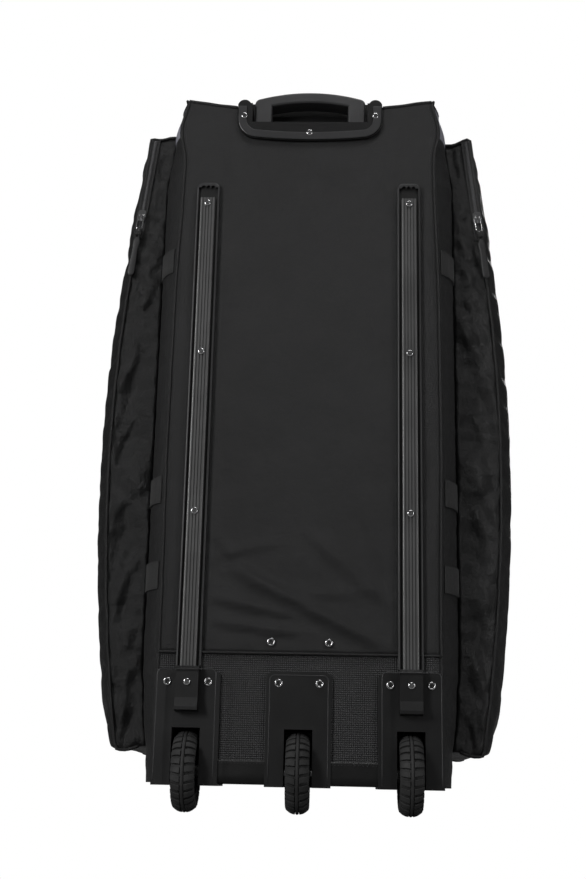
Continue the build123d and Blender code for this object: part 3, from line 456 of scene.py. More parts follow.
def frames_along(path, normal=None, closed=False):
    """Tangent, side and normal at each point of a path; normal is fixed, or a list."""
    out = []
    n = len(path)
    for i in range(n):
        if closed:
            tangent = path[(i + 1) % n] - path[i - 1]
        else:
            tangent = path[min(i + 1, n - 1)] - path[max(i - 1, 0)]
        tangent.normalize()
        up = Vector(normal[i]) if isinstance(normal, list) else Vector(normal or (0, -1, 0))
        up = (up - tangent * up.dot(tangent)).normalized()
        out.append((tangent, tangent.cross(up), up))
    return out


def loft(rings, around, start=0, closed=False):
    """Faces that join rings of points which follow each other in the list of vertices, with end caps."""
    faces = []
    for j in range(rings if closed else rings - 1):
        a, b = start + j * around, start + ((j + 1) % rings) * around
        faces += [(a + k, a + (k + 1) % around, b + (k + 1) % around, b + k) for k in range(around)]
    if not closed:
        faces.append(tuple(start + k for k in range(around)))
        faces.append(tuple(start + (rings - 1) * around + k for k in range(around)))
    return faces


def tube(name, path, radius, look, body="bag", normal=None, closed=False, sides=8, slot=None):
    """Round tube along a path."""
    verts = []
    for p, (_, side, up) in zip(path, frames_along(path, normal, closed)):
        for k in range(sides):
            a = 2 * pi * k / sides
            verts.append(p + side * (radius * cos(a)) + up * (radius * sin(a)))
    return outward(piece(name, verts, loft(len(path), sides, closed=closed), look, body, slot))


def ribbon(name, path, low, high, thickness, look, body="bag", normal=None, slot=None, segments=2):
    """Flat band along a path, from low to high sideways, its underside on the path."""
    marks = [mix(low, high, k / segments) for k in range(segments + 1)]
    ring = [(a, 0.0) for a in marks] + [(a, thickness) for a in reversed(marks)]
    verts = []
    for p, (_, side, up) in zip(path, frames_along(path, normal)):
        verts += [p + side * a + up * b for a, b in ring]
    faces = loft(len(path), len(ring))
    obj = outward(piece(name, verts, faces, look, body, slot, shade=False))
    round_off = obj.modifiers.new("edge", "BEVEL")
    round_off.width = thickness * 0.3
    round_off.segments = 1
    round_off.limit_method = "ANGLE"
    return obj


def resample(path, step, closed=False):
    """Points evenly spaced along a polyline."""
    pts = [Vector(p) for p in path]
    if closed:
        pts.append(pts[0].copy())
    total = sum((b - a).length for a, b in zip(pts, pts[1:]))
    count = max(2, round(total / step))
    out, i, run = [], 0, 0.0
    for k in range(count if closed else count + 1):
        want = total * k / count
        while i < len(pts) - 2 and run + (pts[i + 1] - pts[i]).length < want:
            run += (pts[i + 1] - pts[i]).length
            i += 1
        span = (pts[i + 1] - pts[i]).length
        out.append(pts[i].lerp(pts[i + 1], clamp((want - run) / span if span else 0)))
    return out


def stitches(name, path, body="bag", normal=None, pitch=0.004, length=0.0029, radius=0.00038):
    """A row of thread stitches lying on the path, each a small pointed lozenge."""
    spots = resample(path, pitch)
    normals = normal
    if isinstance(normal, list):
        nearest = [min(range(len(path)), key=lambda i: (path[i] - p).length_squared) for p in spots]
        normals = [normal[i] for i in nearest]
    verts, faces = [], []
    for p, (t, s, u) in zip(spots, frames_along(spots, normals)):
        b = len(verts)
        verts += [p - t * (length / 2), p + s * radius, p + u * radius * 1.3, p - s * radius,
                  p - u * radius, p + t * (length / 2)]
        for k in range(4):
            c = b + 1 + k
            d = b + 1 + (k + 1) % 4
            faces += [(b, d, c), (b + 5, c, d)]
    return piece(name, verts, faces, "thread", body)


def join(name, parts):
    """Joins pieces of one body into one object with their materials kept."""
    keep = parts[0]
    bm = bmesh.new()
    materials = []
    for obj in parts:
        data = obj.data if not obj.modifiers else apply_all(obj).data
        slots = []
        for m in data.materials:
            if m not in materials:
                materials.append(m)
            slots.append(materials.index(m))
        start = len(bm.faces)
        bm.from_mesh(data)
        bm.faces.ensure_lookup_table()
        for f in bm.faces[start:]:
            f.material_index = slots[f.material_index]
    mesh = bpy.data.meshes.new(name)
    bm.to_mesh(mesh)
    bm.free()
    for m in materials:
        mesh.materials.append(m)
    for obj in parts[1:]:
        bpy.data.objects.remove(obj)
    keep.data = mesh
    keep.name = name
    return keep


# ---------------------------------------------------------------- shape of the bag
def panel_half(h):
    """Half width of the back panel at a height above the bag's bottom."""
    return piecewise([(0.0, 0.1875), (0.2, 0.1875), (0.47, 0.1905), (0.65, 0.1895), (0.89, 0.184),
                      (0.938, 0.1915), (0.985, 0.182)], h)


def top_sag(x):
    """The top edge stands up at the corners and dips towards the handle."""
    return mix(-0.0075, 0.0065, clamp((abs(x) - 0.085) / 0.097))


def flare(h):
    """Share of the sides' swell that is left at a height: the bag narrows at its foot and top."""
    return piecewise([(0.0, 0.5), (0.03, 0.56), (0.10, 0.85), (0.17, 1.0), (0.86, 1.0), (0.935, 0.62),
                      (0.985, 0.2)], h)


def crease(x, h, start, end, width, depth):
    """Height of one soft fold that runs from start to end on the panel."""
    (ax, ah), (bx, bh) = start, end
    dx, dh = bx - ax, bh - ah
    length = sqrt(dx * dx + dh * dh)
    t = ((x - ax) * dx + (h - ah) * dh) / length**2
    off = ((x - ax) * dh - (h - ah) * dx) / length
    fade = exp(-(max(0.0, abs(t - 0.5) - 0.3) / 0.25) ** 2)
    return depth * fade * (exp(-((off / width) ** 2)) - 0.6 * exp(-(((off - 1.6 * width) / width) ** 2)))


BACK_FOLDS = [
    ((-0.083, 0.275), (0.100, 0.185), 0.008, 0.0062),
    ((-0.112, 0.240), (0.000, 0.218), 0.0055, 0.0050),
    ((-0.112, 0.208), (-0.010, 0.196), 0.005, 0.0042),
    ((0.010, 0.330), (0.118, 0.236), 0.010, 0.0036),
    ((-0.115, 0.300), (-0.030, 0.318), 0.008, 0.0026),
    ((-0.122, 0.330), (-0.060, 0.262), 0.008, 0.0020),
    ((0.085, 0.355), (0.122, 0.270), 0.007, 0.0020),
    ((-0.020, 0.245), (0.100, 0.252), 0.008, 0.0018),
    ((-0.118, 0.560), (-0.090, 0.400), 0.012, 0.0012),
    ((0.092, 0.640), (0.118, 0.470), 0.012, 0.0012),
    ((-0.060, 0.880), (0.070, 0.865), 0.012, 0.0010),
    ((-0.100, 0.890), (-0.075, 0.800), 0.010, 0.0010),
    ((0.070, 0.905), (0.110, 0.820), 0.010, 0.0012),
]


def back_relief(x, h):
    """How far the back fabric lies behind the plane of the panel; folds stand proud of it."""
    folds = -sum(crease(x, h, *f) for f in BACK_FOLDS)
    soft = 0.0020 * noise.noise((x * 9, 3.0, h * 7)) + 0.0010 * noise.noise((x * 31, 7.0, h * 26))
    between = 1 - smooth((abs(x) - 0.115) / 0.012)
    outside = smooth((abs(x) - 0.166) / 0.008) * (1 - smooth((abs(x) - 0.182) / 0.006))
    edges = smooth(h / 0.03) * smooth((height - h) / 0.05)
    hollow = 0.0012 * between
    relief = (folds * between + soft * max(between, outside) + hollow) * edges + 0.0004
    return min(relief, 0.0024)


def plan_points(h):
    """Right-hand side of the plan section, from the back panel's edge round to the front's."""
    cx = half_body - corner_radius
    turn = atan2(corner_setback, half_panel - cx)
    pts = []
    for i in range(9):
        a = -turn + turn * i / 8
        pts.append((cx + corner_radius * cos(a), corner_setback + corner_radius * sin(a)))
    depth = front - back
    n = round((depth - 2 * corner_setback) / 0.02)
    for i in range(1, n + 1):
        pts.append((half_body, corner_setback + (depth - 2 * corner_setback) * i / n))
    for i in range(1, 9):
        a = turn * i / 8
        pts.append((cx + corner_radius * cos(a), depth - corner_setback + corner_radius * sin(a)))
    out = []
    for x, d in pts:
        near = 1 - smooth(d / corner_setback)
        far = 1 - smooth((depth - d) / corner_setback)
        x = half_panel + (x - half_panel) * flare(h)
        x += (panel_half(h) - half_panel) * near + (panel_half(h) - half_panel) * far * 0.6
        pucker = 0.0013 * noise.noise((d * 30, 5.0, h * 45)) * sin(pi * clamp(d / depth))
        pinch = 0.0016 * noise.noise((2.0, 9.0, h * 60)) * sin(pi * clamp(d / 0.05)) if d < 0.05 else 0.0
        out.append((x + pucker + pinch, d))
    return out


def edge_height(x, h):
    """Rows near the top follow the dipping top edge."""
    return ground + h + top_sag(x) * smooth((h - (height - 0.10)) / 0.10)


seam_height = 0.168
hem_height = 0.030
wheel_xs = [-rail_x, 0.0, rail_x]
slot_half = 0.0213
slot_top = housing_high.z - ground - 0.0745
notch_half = 0.0893
notch_low = height - 0.0333


def by_wheel(x):
    """Whether a place across the bag lies in line with a wheel's slot."""
    return any(abs(x - w) < slot_half for w in wheel_xs)


def in_slot(x, h):
    return by_wheel(x) and h < slot_top


def in_notch(x, h):
    """The gap in the back panel for the pull-out handle."""
    return abs(x) < notch_half and h > notch_low


def back_place(x, h, proud=0.0):
    """Place on the back fabric, which narrows and widens with the panel's outline."""
    spread = 1 + (panel_half(h) / half_panel - 1) * smooth((abs(x) / half_panel - 0.5) / 0.5)
    return Vector((x * spread, back + back_relief(x, h) - proud, edge_height(x, h)))


def build_shell():
    """Back fabric, base reinforcement, vinyl hem and the two sides of the compartment."""
    exact_x = [w + s * slot_half for w in wheel_xs for s in (-1, 1)] + [-notch_half, notch_half]
    columns = lines(-half_panel, half_panel, 0.006, exact_x)
    rows = lines(seam_height, height, 0.006, [notch_low])
    upper = piece("back_fabric", *grid(columns, rows, back_place, in_notch), "panel")
    thicken(upper, skin)
    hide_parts("back_panel")

    rows = lines(hem_height - 0.004, seam_height + 0.002, 0.005, [slot_top])
    lower = piece("base_reinforcement", *grid(columns, rows, lambda x, h: back_place(x, h, 0.0006), in_slot),
                  "ballistic")
    thicken(lower, skin)

    # Vinyl hem: up the back, round the bottom edge and under the bag.
    reach = 0.06

    def hem(x, t):
        """Down the back, round the bottom edge and forward; t is the distance run from the hem's top."""
        fold, proud, under = 0.011, 0.0012, 0.0004
        x *= 0.985
        h = hem_height - t
        if h <= 0:
            return Vector((x, back + fold - h, ground - under))
        if h < fold:
            a = (fold - h) / fold * pi / 2
            return Vector((x, back - proud + fold * (1 - cos(a)), ground + fold * (1 - sin(a)) - under))
        return Vector((x, back - proud, ground + h))

    rows = lines(0, hem_height + reach, 0.0028)
    band = piece("base_hem", *grid(columns, rows, hem, lambda x, t: by_wheel(x)), "vinyl")
    thicken(band, 0.0018, 1.0)

    rows = lines(0.0, height, 0.007)
    for name, side in (("left", LEFT), ("right", RIGHT)):
        count = len(plan_points(0.1))

        def wall(i, h, side=side):
            x, d = plan_points(h)[int(i)]
            return Vector((side * x, back + d, edge_height(x, h)))

        verts, faces = grid(list(range(count)), rows, wall)
        obj = piece(f"side_fabric_{name}", verts, faces, "gusset")
        obj.data.materials.append(M["accent"])
        for f in obj.data.polygons:
            c = f.center
            if c.z > top - 0.052 and c.y > back + 0.004:
                f.material_index = 1
        thicken(obj, skin, 1.0 if side == LEFT else -1.0)
        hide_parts(f"side_panel_{name}")


build_shell()


def side_x(d, h):
    """Half width of the compartment at a depth and height."""
    pts = plan_points(h)
    for (xa, da), (xb, db) in zip(pts, pts[1:]):
        if da <= d <= db:
            return mix(xa, xb, (d - da) / (db - da) if db > da else 0)
    return pts[-1][0]


def build_ends():
    """Top and bottom of the compartment."""
    depth = front - back
    marks = [i / 56 for i in range(57)]
    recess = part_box("handle_bezel")[1].y - back - 0.0127

    def roof(s, d):
        half = side_x(d, height)
        x = (2 * s - 1) * half
        sag = top_sag(x) * (1 - 0.5 * sin(pi * d / depth))
        soft = 0.0022 * noise.noise((x * 11, d * 12, 4.0)) * sin(pi * d / depth)
        bolster = 0.028 * smooth((d - recess) / 0.006) * (1 - smooth((d - 0.056) / 0.034))
        bolster *= 1 - smooth((abs(x) - 0.093) / 0.022)
        crown = 0.003 * sin(pi * d / depth) * (1 - (x / half_body) ** 2)
        return Vector((x, back + d, top + sag + soft + crown + bolster - sag * smooth(bolster / 0.008)))

    rows = lines(0, depth, 0.006, [recess])
    cover = piece("top_fabric", *grid(marks, rows, roof,
                  lambda s, d: abs(2 * s - 1) * half_panel < notch_half and d < recess), "panel")
    cover.data.materials.append(M["accent"])
    # Faces of the top fabric in the handle's recess take the near-black cloth: painted shade.
    cover.data.materials.append(M["dark"])
    for f in cover.data.polygons:
        if abs(f.center.x) > half_panel + 0.004:
            f.material_index = 1
        elif abs(f.center.x) < 0.116 and f.center.y < back + 0.092:
            f.material_index = 2
    thicken(cover, skin)
    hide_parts("top_panel")

    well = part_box("wheel_housing_middle")[1].y - back - 0.003
    columns = lines(-half_body, half_body, 0.007, [w + s * slot_half for w in wheel_xs for s in (-1, 1)])

    def base(x, d):
        half = side_x(d, 0.0)
        return Vector((max(-half, min(half, x)), back + d, ground + 0.0008))

    floor = piece("bottom_fabric", *grid(columns, lines(0.012, depth - 0.004, 0.008, [well]), base,
                  lambda x, d: d < well and by_wheel(x)), "vinyl")
    thicken(floor, 0.0028, 1.0)
    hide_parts("bottom_panel")


build_ends()


# ---------------------------------------------------------------- front and lid
lid_low, lid_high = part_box("lid_panel")
zip_low, zip_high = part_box("lid_zip_outer")
open_low, open_high = zip_low.z, zip_high.z
open_half = zip_high.x
open_corner = 0.070
hinge_x = -open_half


def lid_ring(inset, step=0.008):
    """Outline of the lid's opening from the hinge at the bottom round to the hinge at the top."""
    r = open_corner - inset
    low, high, far = open_low + inset, open_high - inset, open_half - inset
    turns = [pi / 2 * i / 12 for i in range(1, 13)]
    pts = [Vector((hinge_x, 0, low)), Vector((far - r, 0, low))]
    pts += [Vector((far - r + r * sin(a), 0, low + r - r * cos(a))) for a in turns]
    pts += [Vector((far, 0, high - r))]
    pts += [Vector((far - r + r * cos(a), 0, high - r + r * sin(a))) for a in turns]
    pts += [Vector((hinge_x, 0, high))]
    return resample(pts, step)


def build_front():
    ring = lid_ring(0.0)
    ring += [ring[-1].lerp(ring[0], i / 100) for i in range(1, 100)]

    def rim(p):
        """Nearest place on the panel's outer edge, seen from the opening."""
        x, z = p.x, p.z
        cx, cz = clamp(x, -0.08, 0.08), clamp(z, ground + 0.18, top - 0.18)
        dx, dz = x - cx, z - cz
        scale = 1e9
        if dx:
            scale = min(scale, ((half_panel if dx > 0 else -half_panel) - cx) / dx)
        if dz:
            scale = min(scale, ((top if dz > 0 else ground) - cz) / dz)
        return Vector((cx + dx * scale, 0, cz + dz * scale))

    outer = [rim(p) for p in ring]

    def place(i, t):
        p = ring[int(i)].lerp(outer[int(i)], t)
        soft = 0.0016 * noise.noise((p.x * 12, 8.0, p.z * 9)) * sin(pi * t)
        return Vector((p.x, front - 0.0006 - abs(soft), p.z))

    rows = [i / 10 for i in range(11)]
    frame_piece = piece("front_fabric", *grid(list(range(len(ring))), rows, place, closed=True), "panel")
    outward_side(frame_piece, Vector((0, 1, 0)))
    thicken(frame_piece, skin)
    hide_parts("front_panel")

    gap = open_high - lid_high.z
    edge = lid_ring(gap)
    edge += [edge[-1].lerp(edge[0], i / 100) for i in range(1, 100)]

    def lid_place(i, t):
        p = edge[int(i)]
        spine = Vector((0.0, 0, clamp(p.z, open_low + 0.12, open_high - 0.12)))
        q = p.lerp(spine, t)
        x = max(q.x, lid_low.x)
        crown = 0.004 * smooth(t * 2.2)
        folds = 0.003 * noise.noise((q.x * 9, 1.0, q.z * 6)) * smooth(t * 3)
        folds += crease(q.x, q.z - ground, (-0.09, 0.30), (0.10, 0.24), 0.012, 0.003) * smooth(t * 4)
        folds += crease(q.x, q.z - ground, (-0.05, 0.78), (0.08, 0.84), 0.012, 0.0025) * smooth(t * 4)
        return Vector((x, front + crown + folds, q.z))

    rows = [0, 0.01, 0.03, 0.06, 0.1, 0.16, 0.24, 0.34, 0.44, 0.54, 0.64, 0.74, 0.84, 0.93, 0.98, 1.0]
    flap = piece("lid_fabric", *grid(list(range(len(edge))), rows, lid_place, closed=True), "panel", "lid")
    weld(flap)
    outward_side(flap, Vector((0, 1, 0)))
    thicken(flap, skin)
    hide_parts("lid_panel")

    # Zip: a tape on each side and a row of coil teeth at each edge.
    proud = front + 0.0012
    for name, inset, body in (("outer", 0.0, "bag"), ("inner", gap, "lid")):
        path = [Vector((max(p.x, hinge_x + 0.006), proud - 0.001, p.z)) for p in lid_ring(inset, 0.006)]
        away = 1 if name == "outer" else -1
        low_edge, high_edge = sorted((away * -0.0003, away * 0.0105))
        tape = ribbon(f"lid_zip_tape_{name}", path, low_edge, high_edge, 0.0009, "tape", body, (0, 1, 0))
        low_teeth = [Vector((p.x, proud + 0.0006, p.z)) for p in lid_ring(inset + away * -0.0014, 0.002)
                     if p.x > hinge_x + 0.006]
        teeth = coil(f"lid_zip_teeth_{name}", low_teeth, 0.0028, 0.0011, body, (0, 1, 0))
        seam = [Vector((p.x, proud + 0.0002, p.z)) for p in lid_ring(inset - away * 0.0085, 0.006)
                if p.x > hinge_x + 0.006]
        row = stitches(f"lid_zip_stitch_{name}", seam, body, (0, 1, 0))
        both = join(f"lid_zip_{name}", [tape, teeth, row])
        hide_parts(f"lid_zip_{name}")

    strip = [Vector((hinge_x, front + 0.0008, z)) for z in lines(open_low - 0.008, open_high + 0.008, 0.01)]
    hinge = ribbon("lid_hinge_binding", strip, -0.009, 0.009, 0.0012, "tape", None, (0, 1, 0), segments=8)
    apply_all(hinge)
    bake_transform(hinge)


def weld(obj):
    """Joins vertices that lie on the same place."""
    bm = bmesh.new()
    bm.from_mesh(obj.data)
    bmesh.ops.remove_doubles(bm, verts=bm.verts, dist=0.0002)
    bm.to_mesh(obj.data)
    bm.free()


def outward_side(obj, way):
    """Flips a sheet's faces where they don't look the given way."""
    total = sum((f.normal * f.area for f in obj.data.polygons), Vector())
    if total.dot(way) < 0:
        obj.data.flip_normals()
        obj.data.update()


def coil(name, path, width, rise, body, normal):
    """A row of zip teeth: one small bar across the path at each of its points."""
    verts, faces = [], []
    corners = [(-1, -1, 0), (1, -1, 0), (1, 1, 0), (-1, 1, 0)]
    corners += [(-0.6, -0.8, 1), (0.6, -0.8, 1), (0.6, 0.8, 1), (-0.6, 0.8, 1)]
    for p, q, (t, s, u) in zip(path, path[1:], frames_along(path, normal)):
        half = (q - p).length * 0.36
        b = len(verts)
        for along, side, lift in corners:
            verts.append(p + t * (half * along) + s * (width / 2 * side) + u * (rise * lift))
        faces += [(b, b + 3, b + 2, b + 1), (b + 4, b + 5, b + 6, b + 7), (b, b + 1, b + 5, b + 4),
                  (b + 1, b + 2, b + 6, b + 5), (b + 2, b + 3, b + 7, b + 6), (b + 3, b, b + 4, b + 7)]
    return outward(piece(name, verts, faces, "coil", body))


build_front()


# ---------------------------------------------------------------- piping and seams of the panels
def build_piping():
    rows = lines(hem_height, height - 0.004, 0.006)
    for name, side in (("left", LEFT), ("right", RIGHT)):
        for face, y, way in (("back", back + 0.0008, -1), ("front", front - 0.0008, 1)):
            path = []
            for h in rows:
                edge = panel_half(h) if face == "back" else half_panel + 0.6 * (panel_half(h) - half_panel)
                wobble = 0.0007 * noise.noise((side * 3.0, way * 2.0, h * 38))
                path.append(Vector((side * (edge + 0.0004 + wobble), y, edge_height(side * edge, h))))
            tube(f"piping_{face}_{name}", path, 0.0024, "piping", normal=(0, way, 0))
            inner = [Vector((p.x - side * 0.0062, y + way * 0.0010, p.z)) for p in path]
            if face == "back":
                inner = [Vector((p.x, back + back_relief(p.x, p.z - ground) - 0.0002, p.z)) for p in inner]
            stitches(f"stitch_{face}_{name}", inner, normal=(0, way, 0))
    # Along the top edges, stopping at the handle on the back.
    for name, a, b, y, way in (("back_left", -panel_half(height), -bezel_high.x - 0.001, back + 0.0012, -1),
                               ("back_right", bezel_high.x + 0.001, panel_half(height), back + 0.0012, -1),
                               ("front", -half_panel, half_panel, front - 0.0008, 1)):
        path = [Vector((x, y, top + top_sag(x) - 0.0004 + 0.0008 * noise.noise((x * 40, 1.0, 2.0))))
                for x in lines(a, b, 0.005)]
        tube(f"piping_top_{name}", path, 0.0024, "piping", normal=(0, 0, 1))
    # Seam over the base reinforcement, with two stitch rows.
    seam = [Vector((x, back - 0.0016, ground + seam_height)) for x in lines(-panel_half(seam_height),
            panel_half(seam_height), 0.006)]
    tube("piping_base", seam, 0.0019, "piping", normal=(0, -1, 0))
    for name, drop in (("upper", 0.0042), ("lower", 0.0085)):
        stitches(f"stitch_base_{name}", [p + Vector((0, 0.0008, -drop)) for p in seam])
    reach = 2 * slot_half
    # Stitches along the hem, in the spans between the wheels.
    spans = [(-panel_half(0), wheel_xs[0] - reach), (wheel_xs[0] + reach, -reach),
             (reach, wheel_xs[2] - reach), (wheel_xs[2] + reach, panel_half(0))]
    rows = []
    for a, b in spans:
        if b - a > 0.01:
            marks = lines(a + 0.002, b - 0.002, 0.006)
            row = [Vector((x, back - 0.0015, ground + hem_height - 0.004)) for x in marks]
            rows.append(stitches("stitch_hem", row))
    join("stitch_hem_rows", rows)
    for name, side in (("left", LEFT), ("right", RIGHT)):
        z = edge_height(0.2, height - 0.001)
        ring = [Vector((side * (side_x(d, height - 0.002) - 0.0006), back + d, z))
                for d in lines(0.0, front - back, 0.01)]
        tube(f"piping_shoulder_{name}", ring, 0.0022, "piping", normal=(0, 0, 1))


build_piping()


# ---------------------------------------------------------------- side pockets
def circle_through(p, q, r):
    """Centre and radius of the circle through three points of a plane."""
    (ax, ay), (bx, by), (cx, cy) = p, q, r
    d = 2 * (ax * (by - cy) + bx * (cy - ay) + cx * (ay - by))
    ux = ((ax**2 + ay**2) * (by - cy) + (bx**2 + by**2) * (cy - ay) + (cx**2 + cy**2) * (ay - by)) / d
    uy = ((ax**2 + ay**2) * (cx - bx) + (bx**2 + by**2) * (ax - cx) + (cx**2 + cy**2) * (bx - ax)) / d
    return ux, uy, sqrt((ax - ux) ** 2 + (ay - uy) ** 2)


pocket_bottom = pocket_low.z - ground
pocket_top = pocket_high.z - ground
zip_run = 0.171
zip_end = pocket_top - zip_run
root_depth = 0.06
out_top, out_zip, out_bulge, out_foot = 0.034, 0.054, 0.0755, 0.044
bulge_h = 0.400
belly = circle_through((out_zip, zip_end), (out_bulge, bulge_h), (out_foot, pocket_bottom))
rear = pocket_low.y - back
fore = pocket_high.y - back


def pocket_out(h):
    """How far the pocket stands out from the compartment's side at a height."""
    if h >= zip_end:
        return mix(out_zip, out_top, (h - zip_end) / (pocket_top - zip_end))
    return belly[0] + sqrt(max(0.0, belly[2] ** 2 - (h - belly[1]) ** 2))


def pocket_section(h):
    """Ring of (x beyond the side wall, depth, pinned) round the pocket at a height."""
    out = pocket_out(h)
    root = side_x(root_depth, h) - half_body - 0.0018
    edge = mix(0.011, 0.0055, smooth((h - zip_end + 0.02) / 0.04))
    lower = 1 - smooth((h - zip_end) / 0.02)
    cup = 0.003 * lower * sin(pi * clamp((h - pocket_bottom) / (zip_end - pocket_bottom)))
    ring = []
    n = 10
    for i in range(n):
        s = i / n
        ring.append((mix(root, out - edge, s), rear + 0.0006 + cup * sin(pi * s) * 0.6, i < 2))
    ring.append((out - edge, rear + 0.0012, True))
    for a in (0.3, 0.6, 0.85):
        turn = a * pi / 2
        ring.append((out - edge + edge * 0.9 * sin(turn), rear + 0.0012 + 0.020 * (1 - cos(turn)), False))
    for i in range(20):
        s = i / 19
        ring.append((out - 0.001 * (1 - sin(pi * s)), mix(rear + 0.026, fore - 0.020, s), False))
    for a in (0.85, 0.5, 0.2):
        turn = a * pi / 2
        ring.append((out - 0.010 + 0.009 * sin(turn), fore - 0.0006 - 0.016 * (1 - cos(turn)), False))
    ring.append((out - 0.012, fore - 0.0006, True))
    for i in range(1, n + 1):
        s = i / n
        ring.append((mix(out - 0.012, root, s), fore - 0.0006, i > n - 2))
    return ring


def pocket_lift(s, h, side):
    """The top edge falls towards the bag and the bottom edge sags between its ends."""
    fall = -0.011 * (1 - smooth(s * 1.15)) if side == RIGHT else -0.004 * sin(pi * s)
    fall *= smooth((h - pocket_top + 0.05) / 0.05)
    return fall - 0.006 * sin(pi * s) * smooth((pocket_bottom + 0.04 - h) / 0.04)


def build_pocket(name, side):
    seams = [pocket_bottom + 0.0008, pocket_bottom + 0.003, pocket_top - 0.003, pocket_top - 0.0008]
    heights = lines(pocket_bottom, pocket_top, 0.0075, seams)
    cap = 0.0035
    mid_d = (rear + fore) / 2
    verts, pins = [], []
    for h in heights:
        end = min(h - pocket_bottom, pocket_top - h)
        shrink = cap - sqrt(max(0.0, cap**2 - (cap - min(end, cap)) ** 2))
        section = pocket_section(h)
        for x, d, pinned in section:
            if x > pocket_out(h) * 0.6:
                x -= shrink
            d = d + shrink * (1 if d < mid_d else -1) * clamp(abs(d - mid_d) / 0.08)
            s = clamp(x / pocket_out(h))
            lift = pocket_lift(s, h, side)
            verts.append(Vector((side * (half_body + x), back + d, ground + h + lift)))
            pins.append(1.0 if pinned or end < 0.004 else 0.0)
            if h > zip_end - 0.012 and d < rear + 0.006 and x > pocket_out(h) - 0.026:
                pins[-1] = 1.0
    obj = outward(piece(f"pocket_fabric_{name}", verts, loft(len(heights), len(section)), "nylon"))
    rest = [v.co.copy() for v in obj.data.vertices]
    slack_cloth(obj, pins, 0.035)
    cap_moves(obj, rest, 0.009)
    # The rear face's crescent folds, pressed in below the zip's end.
    for v, pin in zip(obj.data.vertices, pins):
        h = v.co.z - ground
        s = clamp((abs(v.co.x) - half_body) / pocket_out(clamp(h, pocket_bottom, pocket_top)))
        if v.co.y < back + rear + 0.012 and not pin:
            bend = h * 15 + side * 3.0 + 2.2 * s * s
            wave = noise.noise((s * 1.6, side * 4.0, bend)) + 0.8 * noise.noise((s * 2.4, 2.0, bend * 2.3))
            wave += 0.35 * noise.noise((s * 6, 5.0, h * 60))
            v.co.y = max(back + rear - 0.007, v.co.y + 0.0075 * wave * sin(pi * s) ** 0.7)
        v.co.x = side * max(abs(v.co.x), side_x(root_depth, clamp(h, 0, height)) - 0.0022)
        v.co.x = side * min(abs(v.co.x), half_body + out_bulge + 0.008)
    obj.data.update()
    smoother = obj.modifiers.new("surface", "SUBSURF")
    smoother.levels = smoother.render_levels = 1
    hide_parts(f"pocket_{name}")

    # Piping on the rear and front edges.
    for where, depth, away, inset in (("rear", rear + 0.0006, -1, 0.011), ("front", fore - 0.0004, 1, 0.012)):
        path = []
        for h in lines(pocket_bottom + 0.004, pocket_top - 0.004, 0.006):
            edge = mix(inset, 0.0045, smooth((h - zip_end + 0.02) / 0.04)) if where == "rear" else inset
            x = half_body + pocket_out(h) - edge + 0.0008 * noise.noise((side * 2.0, away * 5.0, h * 30))
            path.append(Vector((side * x, back + depth + away * 0.001, ground + h)))
        foot = [Vector((side * (half_body + out_foot * s), path[0].y,
                        ground + pocket_bottom + 0.001 + pocket_lift(s, pocket_bottom, side)))
                for s in (0.02, 0.15, 0.3, 0.45, 0.6, 0.7)]
        wall = side_x(root_depth, pocket_top) - half_body
        head = []
        for s in (0.05, 0.2, 0.35, 0.5, 0.65, 0.8, 1.0):
            x = mix(abs(path[-1].x) - half_body - 0.003, wall, s)
            lift = pocket_lift(clamp(x / out_top), pocket_top, side)
            head.append(Vector((side * (half_body + x), path[-1].y, ground + pocket_top - 0.0005 + lift)))
        tube(f"pocket_piping_{where}_{name}", foot + path + head, 0.0021, "piping", normal=(0, away, 0))


def slack_cloth(obj, pins, slack):
    """Lets a closed bag of cloth, a little too large for its seams, fill and wrinkle."""
    group = obj.vertex_groups.new(name="seams")
    for i, weight in enumerate(pins):
        if weight:
            group.add([i], weight, "REPLACE")
    cloth = obj.modifiers.new("cloth", "CLOTH")
    s = cloth.settings
    s.quality = 5
    s.mass = 0.15
    s.tension_stiffness = s.compression_stiffness = 12
    s.shear_stiffness = 6
    s.bending_stiffness = 0.08
    s.air_damping = 2
    s.use_pressure = True
    s.uniform_pressure_force = 2.0
    s.shrink_min = -slack
    s.vertex_group_mass = "seams"
    s.effector_weights.gravity = 0
    cloth.collision_settings.use_collision = False
    scene = bpy.context.scene
    for f in range(1, 21):
        scene.frame_set(f)
    apply_all(obj)
    scene.frame_set(1)


def cap_moves(obj, rest, limit):
    """Pulls back the points that moved further than the limit."""
    for v, r in zip(obj.data.vertices, rest):
        move = v.co - r
        if move.length > limit:
            v.co = r + move * (limit / move.length)


for name, side in (("left", LEFT), ("right", RIGHT)):
    build_pocket(name, side)


def zip_point(side, h, proud=0.0, off=0.0):
    """Place on a pocket's zip line, off sideways from it."""
    x = half_body + pocket_out(h) - 0.012
    return Vector((side * (x + off), back + rear - proud, ground + h))


